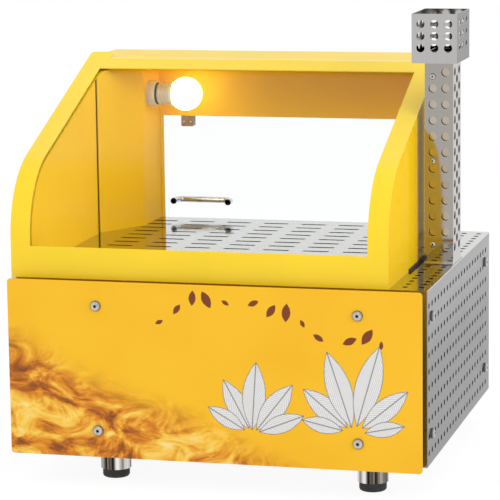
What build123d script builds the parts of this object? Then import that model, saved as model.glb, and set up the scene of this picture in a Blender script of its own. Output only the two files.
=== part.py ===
from build123d import *
from math import cos, radians, sin, tan
import os

# Counter-top oven for baking potatoes, with a glazed and lit display hood on its deck.
# Millimetres, +Z up, +Y from the customer's side to the operator's side.
# The origin is the middle of the overall footprint, on the surface that the feet stand on.

os.makedirs("parts", exist_ok=True)

# ------------------------------------------------------------------ driving sizes
# lower body
BODY_W = 600.0          # over the side panels
BODY_D = 506.0          # front panel to rear panel, outside
BODY_H = 248.0          # underside of the base pan to the top of the deck
SHEET = 1.5             # body sheet
THIN = 1.2              # folded inner sheet
FIT = 0.3               # gap between sheets that move past each other
HOLE_GAP = 0.2          # radial gap of a screw or shank in its hole
RUN_GAP = 0.05          # radial gap of a shaft that turns or slides in its bore
PAN_FLANGE_H = 14.0
ANGLE_W = 20.0          # narrow legs of the upright corner angles
ANGLE_EDGE = 9.0        # wide legs of the corner angles, past the side screws
VENT_L = 40.0           # slots in the base pan
VENT_W = 7.0
VENT_PITCH_X = 60.0
VENT_PITCH_Y = 68.0
VENT_COLS = 3
VENT_ROWS = 4

# front plate
PLATE_T = 1.5
PLATE_STANDOFF = 20.0   # plate's front face to the body's front panel
PLATE_DROP = 4.0        # plate's lower edge under the base pan
PLATE_RISE = 1.0        # plate's upper edge over the deck
PLATE_CORNER_R = 5.0
PLATE_SHORT = 3.0       # plate ends this far inside the body's right edge
PLATE_SCREW_L = 131.0   # left pair of screws from the plate's left edge
PLATE_SCREW_R = 90.0
PLATE_SCREW_LOW = 38.5
PLATE_SCREW_HIGH = 35.0
SPACER_R = 8.0

# domed screws
HEAD_R = 7.5
HEAD_H = 4.0
HEAD_ROUND = 0.8        # share of a head's height that is rounded
SHANK_R = 2.5
SHANK_IN = 8.0          # shank length past the sheet it holds
SMALL_HEAD_R = 4.5
SMALL_HEAD_H = 2.5
SMALL_SHANK_R = 2.0

# perforations of the side panels and the deck strip
PERF_PITCH = 23.0
PERF_R = 4.2
PERF_LAND = 1.0         # least sheet between a hole and its neighbour
PERF_FIRST_Y = 12.5     # first column from the body's front
PERF_FIRST_Z = 18.0     # first row from the body's underside
PERF_END_Y = 30.0       # least margins past the last column and row
PERF_END_Z = 20.0
SIDE_SCREW_FRONT = 35.0
SIDE_SCREW_BACK = 37.0
SIDE_SCREW_Z = 41.0     # from the top and the bottom of the panel
STRIP_COLS = 2
STRIP_EDGE = 12.5       # outer column of the deck strip from the body's right edge
STRIP_FIRST_Y = 24.0
STRIP_END_Y = 15.0
HEAT_PITCH_X = 120.0    # slots in the deck under the hood
HEAT_PITCH_Y = 68.0
HEAT_COLS = 3
HEAT_ROWS = 5

# feet
FOOT_H = 49.0           # table to the underside of the base pan
FOOT_R = 22.0
FOOT_WALL = 2.0
INSERT_R = 19.5
INSERT_H = 13.0
SOLE_ROUND = 4.0
STEM_R = 6.0
STEM_GAP = 6.0          # left above the stem for screwing the foot in
NUT_T = 8.0
FOOT_LEFT = 133.0       # foot centres from the body's left edge
FOOT_RIGHT = 88.0
FOOT_INSET_Y = 52.0

# hood
DECK_STRIP_W = 54.0     # deck left bare to the right of the hood
HOOD_UPRIGHT = 53.3     # height of the upright front, under the nose
HOOD_TOP_D = 141.0      # depth of the flat top
HOOD_SLOPE = 21.2       # degrees, the glazed slope above horizontal
NOSE_R = 120.0          # bend between the upright front and the slope
HOOD_WALL = 29.0        # double-skinned side wall, and the window's side border
FRAME_T = 1.5
WINDOW_SILL = 45.0      # height of the apron under the window
WINDOW_BORDER = 31.0    # window's upper edge to the bend, measured level
FRAME_LAP = 12.0        # front frame past the bend, onto the flat top
EAR_W = 36.0            # side borders' ends, past the bend along the slope
EAR_L = 21.0
EAR_R = 7.0
GLASS_T = 4.0
SEAL_T = 1.0
GLASS_LAP = 10.0        # glass behind the window's border
GLASS_BACK_GAP = 1.5
LINING_T = 1.0
LINING_GAP_Y = 309.0    # upright gap in the side linings, from the hood's front
LINING_GAP_W = 9.0
TRIM_W = 3.0            # black strip along the hood's right side
TRIM_H = 3.5
TRIM_START = 141.0

# rear frame and door of the hood
REAR_T = 14.0
POST_W = 48.0
HEADER_H = 102.0
DOOR_T = 5.0
DOOR_GAP = 1.0          # glass behind the rear frame
DOOR_LAP = 8.0
DOOR_LIFT = 3.0
KNUCKLE_R = 4.0
HINGE_PIN_R = 2.0
HINGE_H = 42.0
HINGE_LOW = 22.0        # hinges from the door's lower and upper edges
LEAF_T = 2.0
LEAF_W = 28.0
HINGE_OFF = 8.0         # hinge axis past the door's edge
CATCH_W = 19.5
CATCH_H = 17.0
CATCH_X = 110.0         # from the hood's left side
CATCH_ROUND = 2.0
STRIKE_T = 0.7
STRIKE_EDGE = 1.5       # strike inside the catch's outline
DOOR_HANDLE_SPAN = 90.0
DOOR_HANDLE_IN = 20.0   # handle's near foot from the door's free edge
DOOR_HANDLE_UP = 32.0   # handle above the door's lower edge

# lamp
LAMP_X = 75.0           # folded lining's lamp face from the hood's left side
LAMP_FACE_D = 89.5      # depth of that face, from the rear frame forwards
FOLD_LIP = 3.5          # folded lining's lip beside the upright gap
LAMP_FROM_REAR = 54.5   # lamp axis in front of the rear frame
LAMP_Z = 40.7           # lamp axis above the header's lower edge
LAMP_BASE_R = 20.0
LAMP_BASE_L = 13.0
LAMP_BODY_R = 15.5      # holder beside its base
LAMP_SKIRT_R = 18.0     # holder beside the bulb
LAMP_SKIRT_L = 27.0
LAMP_BASE_ROUND = 3.0
LAMP_SOCKET_L = 24.0
BULB_R = 26.0
BULB_CAP_R = 11.0


# display floor
FLOOR_H = 12.0
FLOOR_GAP = 1.0
SLOT_L = 40.0
SLOT_W = 7.0
SLOT_PITCH_X = 60.0
SLOT_PITCH_Y = 34.0
SLOT_MARGIN = 20.0

# roasting chamber and drawers
CHAMBER_LEFT = 50.0     # from the body's left edge
CHAMBER_RIGHT = 140.0   # room for the flue and the controls
CHAMBER_FRONT = 35.0    # from the body's front
CHAMBER_LIFT = 58.0     # from the body's underside
CHAMBER_TOP_GAP = 1.5   # insulation to the deck plate
INSULATION_T = 20.0
BURNER_SLOT_L = 80.0    # slots in the chamber's floor, over the burners
BURNER_SLOTS = 6
LEG_W = 20.0
RUNNER_W = 12.0
RUNNER_LIFT = 5.0
RUNNER_END = 2.0
DRAWER_CLEAR = 17.8     # drawer pan's upper edge to the next drawer
DRAWER_SIDE_GAP = 3.0
DRAWER_BACK_GAP = 8.0
CUTOUT_GAP = 2.0
DRAWER_FRONT_T = 14.0
DRAWER_FRONT_GAP = 1.0
FRONT_LAP_X = 6.0
FRONT_LAP_LOW = 6.0
FRONT_SPLIT = 2.0       # between the two drawer fronts
HANDLE_R = 5.0
HANDLE_REACH = 30.0     # outer side of a handle's bar from its seat
HANDLE_SPAN = 120.0
HANDLE_BEND_R = 12.0
DOOR_HANDLE_REACH = 28.0

# burners and gas line
BURNER_R = 13.0
BURNER_DROP = 23.0      # burner axis under the chamber
BURNER_SPREAD = 200.0   # between the two burner tubes
BURNER_FRONT = 75.0
PORT_R = 1.5
PORT_PITCH = 26.0
PORT_MARGIN = 50.0
SUPPORT_T = 3.0
SUPPORT_W = 44.0
MANIFOLD_R = 8.0
MANIFOLD_END = 28.0     # manifold past the left burner
MANIFOLD_BACK = 46.0    # manifold axis in front of the rear panel
SPUD_W = 14.0
SPUD_L = 14.0
VALVE_RIGHT = 65.0      # valve axis from the body's right edge
VALVE_W = 34.0
VALVE_D = 30.0
VALVE_H = 28.0
VALVE_ROUND = 3.0
NECK_R = 9.0
SPINDLE_R = 4.0
SPINDLE_IN = 18.0
PIPE_R = 6.0
PIPE_BORE_R = 4.0
INLET_SIDE = 32.0       # gas inlet beside the valve axis
INLET_OUT = 30.0
INLET_BEND_R = 12.0
INLET_CHAMFER = 1.0
INLET_NUT_R = 10.0      # locknut on the rear panel's outer face
INLET_NUT_T = 5.0

# controls on the rear panel
KNOB_R = 20.0
KNOB_BASE_T = 9.0
KNOB_GRIP_W = 10.0
KNOB_GRIP_H = 13.0
KNOB_GRIP_EDGE = 3.0    # grip's ends inside the knob's rim
KNOB_CHAMFER = 2.0
KNOB_ROUND = 1.5
KNOB_GAP = 1.5
GAUGE_R = 29.0
GAUGE_BARREL_R = 25.0
GAUGE_DEPTH = 12.0
GAUGE_BEZEL_T = 6.0
GAUGE_RIM = 1.6
GAUGE_ROUND = 2.0
GAUGE_DIAL_IN = 2.0
GAUGE_TOP = 55.0        # gauge's centre under the deck
LENS_T = 1.5
NEEDLE_L = 17.0
NEEDLE_TAIL = 5.6
NEEDLE_REST = 135.0     # degrees, cold needle anticlockwise from upright
NEEDLE_HALF_W = 2.0
NEEDLE_T = 0.8
NEEDLE_HUB_R = 2.6
NEEDLE_PIN_R = 0.8
NEEDLE_PIN_L = 5.0
BUTTON_R = 6.0
BUTTON_L = 16.0
BUTTON_SPACE = 9.0      # bore behind the button, for its spring
BUTTON_OUT = 9.0
BUTTON_ROUND = 1.2
BUTTON_BEZEL_R = 12.0
BUTTON_BEZEL_T = 3.0
BEZEL_ROUND = 1.0
BUTTON_BARREL_R = 9.0
BUTTON_BARREL_L = 30.0
ROW_Z = 118.0           # button and switch under the deck
ROW_SPREAD = 24.0       # each side of the valve axis
SWITCH_W = 24.0
SWITCH_H = 32.0
SWITCH_BEZEL_T = 2.0
SWITCH_BEZEL_LAP = 2.0  # bezel past its cut-out in the panel
SWITCH_DEPTH = 20.0
ROCKER_W = 16.0
ROCKER_HALF = 11.0
ROCKER_SPACE = 1.2      # above and below the rocker
ROCKER_SILL = 1.0       # rocker's edge behind its axis
ROCKER_IN = 1.0         # rocker's axis in front of the rear panel's outer face
ROCKER_PIN_IN = 0.9     # rocker's pins into the housing
ROCKER_T = 5.0
ROCKER_DISH = 2.0
ROCKER_TILT = 10.0
ROCKER_PIN_R = 1.5
GLAND_R = 10.0
GLAND_BORE_R = 3.5
GLAND_OUT = 16.0
GLAND_NUT_T = 5.5
GLAND_IN = 8.0
GLAND_STEP = 2.0        # gland's barrel inside its hexagon

# flue, its guard and its cap
GUARD_W = 41.0
GUARD_D = 60.0
GUARD_H = 292.5
GUARD_INSET = 1.0       # guard's right face inside the body's right edge
GUARD_FRONT = 202.0     # guard's front face from the body's front
GUARD_PERF_R = 6.0
GUARD_FIRST_ROW = 25.0
GUARD_END_ROW = 10.0
GUARD_COL_X = 9.2
GUARD_COL_Y = 17.0
GUARD_SCREW_LOW = 30.0
GUARD_SCREW_STEP = 121.0
FLUE_GAP = 2.8          # between the guard and the flue pipe
FLUE_T = 1.0
FLUE_HOLE_GAP = 1.0
FLUE_BOX_H = 40.0
FLUE_BOX_DROP = 5.0     # flue box under the chamber's top
FLUE_BOX_SIDE = 2.5     # flue box past the flue pipe, each side
FLUE_IN_CAP = 15.0
TAB_T = 1.5
TAB_UP = 8.0
TAB_OUT = 11.0
TAB_BEND_R = 4.0
CAP_W = 65.0
CAP_D = 100.0
CAP_H = 70.0
CAP_SHIFT = -3.0        # cap off the guard's middle, towards the hood
CAP_PERF_R = 5.9
CAP_ROW_TOP = 14.5
CAP_ROW_PITCH = 17.0
CAP_COL_X = 19.8
CAP_COL_Y = 27.0

# ------------------------------------------------------------------ places
CAP_OVERHANG = max(CAP_W / 2 + CAP_SHIFT - GUARD_W / 2 - GUARD_INSET, HEAD_H)
REAR_REACH = DRAWER_FRONT_GAP + DRAWER_FRONT_T + HANDLE_REACH
LEFT = (HEAD_H - BODY_W - CAP_OVERHANG) / 2
RIGHT = LEFT + BODY_W
FRONT = (HEAD_H + PLATE_STANDOFF - BODY_D - REAR_REACH) / 2
BACK = FRONT + BODY_D
BASE = FOOT_H
DECK = BASE + BODY_H
PLATE_FACE = FRONT - PLATE_STANDOFF
PLATE_RIGHT = RIGHT - PLATE_SHORT
PLATE_LOW = BASE - PLATE_DROP
PLATE_H = BODY_H + PLATE_DROP + PLATE_RISE

HOOD_RIGHT = RIGHT - DECK_STRIP_W
HOOD_BACK = BACK
REAR_FACE = HOOD_BACK - REAR_T
SLOPE = radians(HOOD_SLOPE)
GLASS_INSET = FRAME_T + SEAL_T
STEP_INSET = GLASS_INSET + GLASS_T + GLASS_BACK_GAP
BEND_Y = HOOD_BACK - HOOD_TOP_D
NOSE_Y = FRONT + NOSE_R * (1 - sin(SLOPE))
NOSE_CENTRE_Z = DECK + HOOD_UPRIGHT
HOOD_TOP = NOSE_CENTRE_Z + NOSE_R * cos(SLOPE) + (BEND_Y - NOSE_Y) * tan(SLOPE)
HEADER_Z = HOOD_TOP - FRAME_T - HEADER_H

FLUE_X = RIGHT - GUARD_INSET - GUARD_W / 2
FLUE_Y = FRONT + GUARD_FRONT + GUARD_D / 2
FLUE_W = GUARD_W - 2 * (THIN + FLUE_GAP)
FLUE_D = GUARD_D - 2 * (THIN + FLUE_GAP)
CAP_LOW = DECK + GUARD_H
CAP_X = FLUE_X + CAP_SHIFT

CH_LEFT = LEFT + CHAMBER_LEFT
CH_RIGHT = RIGHT - CHAMBER_RIGHT
CH_FRONT = FRONT + CHAMBER_FRONT
CH_BACK = BACK - SHEET
CH_LOW = BASE + CHAMBER_LIFT
CH_TOP = DECK - SHEET - CHAMBER_TOP_GAP - INSULATION_T
CH_X = (CH_LEFT + CH_RIGHT) / 2
FLUE_BOX_TOP = CH_TOP - FLUE_BOX_DROP

DRAWER_PITCH = (CH_TOP - CH_LOW - 2 * THIN - RUNNER_LIFT) / 2
DRAWER_H = DRAWER_PITCH - DRAWER_CLEAR

BURNER_Z = CH_LOW - BURNER_DROP
MANIFOLD_Y = BACK - MANIFOLD_BACK
BURNER_END = MANIFOLD_Y - SPUD_L
BURNERS_X = [CH_X - BURNER_SPREAD / 2, CH_X + BURNER_SPREAD / 2]
VALVE_X = RIGHT - VALVE_RIGHT
GAUGE_Z = DECK - GAUGE_TOP
CONTROL_Z = DECK - ROW_Z
SWITCH_X = VALVE_X - ROW_SPREAD
BUTTON_X = VALVE_X + ROW_SPREAD
INLET_X = VALVE_X + INLET_SIDE
GLAND_X = VALVE_X + ROW_SPREAD
GLAND_Z = (CONTROL_Z - BUTTON_BEZEL_R + BURNER_Z + KNOB_R) / 2
ROCKER_Y = BACK - ROCKER_IN

LOW = (Align.CENTER, Align.CENTER, Align.MIN)
HIGH = (Align.CENTER, Align.CENTER, Align.MAX)
CORNER = (Align.MIN, Align.MIN, Align.MIN)


def save(piece, name):
    """Label a finished piece and write it as the node `name`."""
    piece.label = name
    export_step(piece, "parts/" + name + ".step")


def block(x0, x1, y0, y1, z0, z1, mode=Mode.ADD):
    """A box between two corners, in the active part."""
    with Locations((x0, y0, z0)):
        Box(x1 - x0, y1 - y0, z1 - z0, align=CORNER, mode=mode)


def copies(span, pitch):
    """How many copies at `pitch` fit between the first and the last centre."""
    return int(span / pitch) + 1


def rear_plane(x, z, y=BACK, turn=0.0):
    """A plane on the operator's side: drawn as seen from behind, its normal towards +Y.

    `turn` is in degrees, anticlockwise as the operator sees it.
    """
    x_dir = (-cos(radians(turn)), 0, sin(radians(turn)))
    return Plane(origin=(x, y, z), x_dir=x_dir, z_dir=(0, 1, 0))


# ------------------------------------------------------------------ lower body casing
with BuildPart() as base_pan:
    block(LEFT + SHEET, RIGHT - SHEET, FRONT + SHEET, BACK - SHEET, BASE, BASE + PAN_FLANGE_H)
    block(LEFT + 2 * SHEET, RIGHT - 2 * SHEET, FRONT + 2 * SHEET, BACK - 2 * SHEET,
          BASE + SHEET, BASE + PAN_FLANGE_H, mode=Mode.SUBTRACT)
    with BuildSketch(Plane.XY.offset(BASE)):
        with Locations((CH_X, (FRONT + BACK) / 2)):
            with GridLocations(VENT_PITCH_X, VENT_PITCH_Y, VENT_COLS, VENT_ROWS):
                SlotOverall(VENT_L, VENT_W)
    extrude(amount=SHEET, mode=Mode.SUBTRACT)
save(base_pan.part, "base_pan")

PLATE_SCREWS = [
    (x, z)
    for x in (LEFT + PLATE_SCREW_L, PLATE_RIGHT - PLATE_SCREW_R)
    for z in (PLATE_LOW + PLATE_SCREW_LOW, PLATE_LOW + PLATE_H - PLATE_SCREW_HIGH)
]

# Plane.XZ looks towards +Y, so an extrusion by a negative amount runs towards the operator.
with BuildPart() as body_front_panel:
    with BuildSketch(Plane.XZ.offset(-FRONT)):
        with Locations(((LEFT + RIGHT) / 2, (BASE + DECK - SHEET) / 2)):
            Rectangle(BODY_W - 2 * SHEET, BODY_H - SHEET)
        with Locations(*PLATE_SCREWS):
            Circle(SHANK_R + HOLE_GAP, mode=Mode.SUBTRACT)
    extrude(amount=-SHEET)
save(body_front_panel.part, "body_front_panel")

with BuildPart() as front_plate:
    with BuildSketch(Plane.XZ.offset(-PLATE_FACE)):
        with Locations(((LEFT + PLATE_RIGHT) / 2, PLATE_LOW + PLATE_H / 2)):
            RectangleRounded(PLATE_RIGHT - LEFT, PLATE_H, PLATE_CORNER_R)
        with Locations(*PLATE_SCREWS):
            Circle(SHANK_R + HOLE_GAP, mode=Mode.SUBTRACT)
    extrude(amount=-PLATE_T)
save(front_plate.part, "front_plate")

with BuildPart() as front_plate_spacers:
    with BuildSketch(Plane.XZ.offset(-PLATE_FACE - PLATE_T)):
        with Locations(*PLATE_SCREWS):
            Circle(SPACER_R)
            Circle(SHANK_R + HOLE_GAP, mode=Mode.SUBTRACT)
    extrude(amount=-(PLATE_STANDOFF - PLATE_T))
save(front_plate_spacers.part, "front_plate_spacers")


def domed_screws(plane, points, shank, head_r, head_h, shank_r):
    """Domed screws seated on `plane`: heads on its +Z side, shanks on the other."""
    with BuildPart(plane) as screws:
        with Locations(*points):
            Cylinder(head_r, head_h, align=LOW)
            Cylinder(shank_r, shank, align=HIGH)
        rims = screws.edges().filter_by(GeomType.CIRCLE).group_by(Axis(plane.origin, plane.z_dir))[-1]
        fillet(rims, HEAD_ROUND * head_h)
    return screws.part


SIDE_SCREWS = [
    (y, z)
    for y in (FRONT + SIDE_SCREW_FRONT, BACK - SIDE_SCREW_BACK)
    for z in (BASE + SIDE_SCREW_Z, DECK - SIDE_SCREW_Z)
]


def far_from(point, others, distance):
    """Whether `point` is at least `distance` from each of `others`."""
    return all((point[0] - x) ** 2 + (point[1] - y) ** 2 >= distance ** 2 for x, y in others)


SIDE_HOLES = [
    (FRONT + PERF_FIRST_Y + column * PERF_PITCH, BASE + PERF_FIRST_Z + row * PERF_PITCH)
    for column in range(copies(BODY_D - PERF_FIRST_Y - PERF_END_Y, PERF_PITCH))
    for row in range(copies(BODY_H - PERF_FIRST_Z - PERF_END_Z, PERF_PITCH))
]
SIDE_HOLES = [
    point for point in SIDE_HOLES
    if far_from(point, SIDE_SCREWS, HEAD_R + PERF_R + PERF_LAND)
]


def side_panel(x):
    """A perforated side sheet whose left face is at `x`."""
    with BuildPart() as panel:
        with BuildSketch(Plane.YZ.offset(x)):
            with Locations(((FRONT + BACK) / 2, (BASE + DECK - SHEET) / 2)):
                Rectangle(BODY_D, BODY_H - SHEET)
            with Locations(*SIDE_HOLES):
                Circle(PERF_R, mode=Mode.SUBTRACT)
            with Locations(*SIDE_SCREWS):
                Circle(SHANK_R + HOLE_GAP, mode=Mode.SUBTRACT)
        extrude(amount=SHEET)
    return panel.part


save(side_panel(LEFT), "left_side_panel")
save(side_panel(RIGHT - SHEET), "right_side_panel")

LEFT_PLANE = Plane(origin=(LEFT, 0, 0), x_dir=(0, 1, 0), z_dir=(-1, 0, 0))
with BuildPart() as panel_screws:
    add(domed_screws(Plane.XZ.offset(-PLATE_FACE), PLATE_SCREWS, PLATE_STANDOFF + SHEET + SHANK_IN,
                     HEAD_R, HEAD_H, SHANK_R))
    add(domed_screws(Plane.YZ.offset(RIGHT), SIDE_SCREWS, SHEET + SHANK_IN, HEAD_R, HEAD_H, SHANK_R))
    add(domed_screws(LEFT_PLANE, [(y, -z) for y, z in SIDE_SCREWS], SHEET + SHANK_IN,
                     HEAD_R, HEAD_H, SHANK_R))
save(panel_screws.part, "panel_screws")

STRIP_HOLES = [
    (RIGHT - STRIP_EDGE - column * PERF_PITCH, FRONT + STRIP_FIRST_Y + row * PERF_PITCH)
    for column in range(STRIP_COLS)
    for row in range(copies(BODY_D - STRIP_FIRST_Y - STRIP_END_Y, PERF_PITCH))
]
GUARD_CLEAR = GUARD_D / 2 + TAB_OUT + PERF_R + PERF_LAND
STRIP_HOLES = [(x, y) for x, y in STRIP_HOLES if abs(y - FLUE_Y) >= GUARD_CLEAR]
FLOOR_X = (LEFT + HOOD_RIGHT) / 2
FLOOR_Y0 = FRONT + STEP_INSET + FLOOR_GAP
FLOOR_Y1 = REAR_FACE - FLOOR_GAP
FLOOR_Y = (FLOOR_Y0 + FLOOR_Y1) / 2

with BuildPart() as deck_plate:
    with BuildSketch(Plane.XY.offset(DECK - SHEET)):
        with Locations(((LEFT + RIGHT) / 2, (FRONT + BACK) / 2)):
            Rectangle(BODY_W, BODY_D)
        with Locations(*STRIP_HOLES):
            Circle(PERF_R, mode=Mode.SUBTRACT)
        with Locations((FLUE_X, FLUE_Y)):
            Rectangle(FLUE_W + 2 * FLUE_HOLE_GAP, FLUE_D + 2 * FLUE_HOLE_GAP, mode=Mode.SUBTRACT)
        with Locations((FLOOR_X, FLOOR_Y)):
            with GridLocations(HEAT_PITCH_X, HEAT_PITCH_Y, HEAT_COLS, HEAT_ROWS):
                SlotOverall(SLOT_L, SLOT_W, mode=Mode.SUBTRACT)
    extrude(amount=SHEET)
save(deck_plate.part, "deck_plate")


# ------------------------------------------------------------------ feet
FEET = {
    "front_left": (LEFT + FOOT_LEFT, FRONT + FOOT_INSET_Y),
    "front_right": (RIGHT - FOOT_RIGHT, FRONT + FOOT_INSET_Y),
    "rear_left": (LEFT + FOOT_LEFT, BACK - FOOT_INSET_Y),
    "rear_right": (RIGHT - FOOT_RIGHT, BACK - FOOT_INSET_Y),
}
CUP_LOW = INSERT_H + FIT

with BuildPart() as foot_cups:
    with Locations(*[(x, y, CUP_LOW) for x, y in FEET.values()]):
        Cylinder(FOOT_R, BASE - CUP_LOW, align=LOW)
        Cylinder(STEM_R + RUN_GAP, NUT_T, align=LOW, mode=Mode.SUBTRACT)
    with Locations(*[(x, y, CUP_LOW + NUT_T) for x, y in FEET.values()]):
        Cylinder(FOOT_R - FOOT_WALL, BASE - CUP_LOW - NUT_T - FOOT_WALL, align=LOW, mode=Mode.SUBTRACT)
save(foot_cups.part, "foot_cups")

for corner, (foot_x, foot_y) in FEET.items():
    with BuildPart() as foot_insert:
        with Locations((foot_x, foot_y, 0)):
            Cylinder(INSERT_R, INSERT_H, align=LOW)
            Cylinder(STEM_R, BASE - FOOT_WALL - STEM_GAP, align=LOW)
        soles = foot_insert.edges().filter_by(GeomType.CIRCLE).group_by(Axis.Z)[0]
        fillet(soles, SOLE_ROUND)
    save(foot_insert.part, corner + "_foot_insert")


# ------------------------------------------------------------------ roasting chamber
with BuildPart() as chamber_liner:
    block(CH_LEFT, CH_RIGHT, CH_FRONT, CH_BACK, CH_LOW, CH_TOP)
    block(CH_LEFT + THIN, CH_RIGHT - THIN, CH_FRONT + THIN, CH_BACK, CH_LOW + THIN, CH_TOP - THIN,
          mode=Mode.SUBTRACT)
    block(CH_RIGHT - THIN, CH_RIGHT, FLUE_Y - FLUE_D / 2, FLUE_Y + FLUE_D / 2,
          FLUE_BOX_TOP - FLUE_BOX_H + THIN, FLUE_BOX_TOP - THIN, mode=Mode.SUBTRACT)
    with BuildSketch(Plane.XY.offset(CH_LOW)):
        with Locations(*[(x, (CH_FRONT + CH_BACK) / 2) for x in BURNERS_X]):
            with GridLocations(BURNER_SLOT_L, SLOT_PITCH_Y * 2, 1, BURNER_SLOTS):
                SlotOverall(BURNER_SLOT_L, SLOT_W)
    extrude(amount=THIN, mode=Mode.SUBTRACT)
save(chamber_liner.part, "chamber_liner")

with BuildPart() as chamber_insulation:
    block(CH_LEFT, CH_RIGHT, CH_FRONT - INSULATION_T, CH_FRONT, CH_LOW, CH_TOP)
    block(CH_LEFT, CH_RIGHT, CH_FRONT, CH_BACK, CH_TOP, CH_TOP + INSULATION_T)
    block(CH_LEFT - INSULATION_T, CH_LEFT, CH_FRONT, CH_BACK, CH_LOW, CH_TOP)
    block(CH_RIGHT, CH_RIGHT + INSULATION_T, CH_FRONT, CH_BACK, CH_LOW, CH_TOP)
    block(CH_RIGHT, CH_RIGHT + INSULATION_T,
          FLUE_Y - FLUE_D / 2 - FLUE_BOX_SIDE, FLUE_Y + FLUE_D / 2 + FLUE_BOX_SIDE,
          FLUE_BOX_TOP - FLUE_BOX_H, FLUE_BOX_TOP, mode=Mode.SUBTRACT)
save(chamber_insulation.part, "chamber_insulation")

def runner_top(level):
    """Height of the drawer runners' upper faces, for drawer 0 (lower) or 1 (upper)."""
    return CH_LOW + THIN + RUNNER_LIFT + level * DRAWER_PITCH + THIN


with BuildPart() as drawer_runners:
    for level in (0, 1):
        for wall, inward in ((CH_LEFT + THIN, 1), (CH_RIGHT - THIN, -1)):
            with BuildSketch(Plane.XZ.offset(-CH_FRONT - THIN)):
                with BuildLine():
                    Polyline((wall, runner_top(level) - THIN),
                             (wall + inward * RUNNER_W, runner_top(level) - THIN),
                             (wall + inward * RUNNER_W, runner_top(level)),
                             (wall + inward * THIN, runner_top(level)),
                             (wall + inward * THIN, runner_top(level) + RUNNER_W),
                             (wall, runner_top(level) + RUNNER_W), close=True)
                make_face()
            extrude(amount=-(CH_BACK - RUNNER_END - CH_FRONT - THIN))
save(drawer_runners.part, "drawer_runners")


# ------------------------------------------------------------------ drawers
DRAWER_W = CH_RIGHT - CH_LEFT - 2 * THIN - 2 * DRAWER_SIDE_GAP
FRONT_W = DRAWER_W + 2 * FRONT_LAP_X
FRONT_H = DRAWER_PITCH - FRONT_SPLIT
FRONT_IN = BACK + DRAWER_FRONT_GAP
FRONT_OUT = FRONT_IN + DRAWER_FRONT_T


def drawer_low(level):
    """Underside of a drawer pan, just above its runners."""
    return runner_top(level) + FIT


def bow_handle(seat, span, reach):
    """A round bar bent to a bow, its two feet on the line y = 0 of the plane `seat`."""
    bar = reach - HANDLE_R
    with BuildPart() as bow:
        with BuildLine(seat) as path:
            FilletPolyline((-span / 2, 0), (-span / 2, bar), (span / 2, bar), (span / 2, 0),
                           radius=HANDLE_BEND_R)
        with BuildSketch(Plane(origin=path.wire() @ 0, z_dir=path.wire() % 0)):
            Circle(HANDLE_R)
        sweep()
    return bow.part


for level, name in ((0, "lower_drawer"), (1, "upper_drawer")):
    low = drawer_low(level)
    with BuildPart() as drawer_pan:
        block(CH_X - DRAWER_W / 2, CH_X + DRAWER_W / 2, CH_FRONT + THIN + DRAWER_BACK_GAP,
              FRONT_OUT - THIN, low, low + DRAWER_H)
        block(CH_X - DRAWER_W / 2 + THIN, CH_X + DRAWER_W / 2 - THIN,
              CH_FRONT + 2 * THIN + DRAWER_BACK_GAP, FRONT_OUT - 2 * THIN,
              low + THIN, low + DRAWER_H, mode=Mode.SUBTRACT)
    save(drawer_pan.part, name + "_pan")

    front_low = low - FRONT_LAP_LOW
    front_high = front_low + FRONT_H
    with BuildPart() as drawer_front:
        block(CH_X - FRONT_W / 2, CH_X + FRONT_W / 2, FRONT_IN, FRONT_OUT, front_low, front_high)
        fillet(drawer_front.faces().sort_by(Axis.Y)[-1].edges(), THIN)
        block(CH_X - FRONT_W / 2 + THIN, CH_X + FRONT_W / 2 - THIN, FRONT_IN, FRONT_OUT - THIN,
              front_low + THIN, front_high - THIN, mode=Mode.SUBTRACT)
    save(drawer_front.part, name + "_front")

    handle_z = (front_low + front_high) / 2
    handle_seat = Plane(origin=(CH_X, FRONT_OUT, handle_z), x_dir=(1, 0, 0), z_dir=(0, 0, 1))
    save(bow_handle(handle_seat, HANDLE_SPAN, HANDLE_REACH), name + "_handle")


# ------------------------------------------------------------------ rear panel
SWITCH_IN_W = SWITCH_W - 2 * SWITCH_BEZEL_LAP
SWITCH_IN_H = SWITCH_H - 2 * SWITCH_BEZEL_LAP
with BuildPart() as rear_panel:
    with BuildSketch(Plane.XZ.offset(-BACK)):
        with Locations(((LEFT + RIGHT) / 2, (BASE + DECK - SHEET) / 2)):
            Rectangle(BODY_W - 2 * SHEET, BODY_H - SHEET)
        with Locations(*[(CH_X, drawer_low(level) + DRAWER_H / 2) for level in (0, 1)]):
            Rectangle(DRAWER_W + 2 * CUTOUT_GAP, DRAWER_H + 2 * CUTOUT_GAP, mode=Mode.SUBTRACT)
        with Locations((VALVE_X, BURNER_Z)):
            Circle(SPINDLE_R + HOLE_GAP, mode=Mode.SUBTRACT)
        with Locations((VALVE_X, GAUGE_Z)):
            Circle(GAUGE_BARREL_R + HOLE_GAP, mode=Mode.SUBTRACT)
        with Locations((BUTTON_X, CONTROL_Z)):
            Circle(BUTTON_BARREL_R + HOLE_GAP, mode=Mode.SUBTRACT)
        with Locations((SWITCH_X, CONTROL_Z)):
            Rectangle(SWITCH_IN_W + HOLE_GAP, SWITCH_IN_H + HOLE_GAP, mode=Mode.SUBTRACT)
        with Locations((INLET_X, BURNER_Z)):
            Circle(PIPE_R + HOLE_GAP, mode=Mode.SUBTRACT)
        with Locations((GLAND_X, GLAND_Z)):
            Circle(GLAND_R - GLAND_STEP + HOLE_GAP, mode=Mode.SUBTRACT)
    extrude(amount=SHEET)
save(rear_panel.part, "rear_panel")


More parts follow.
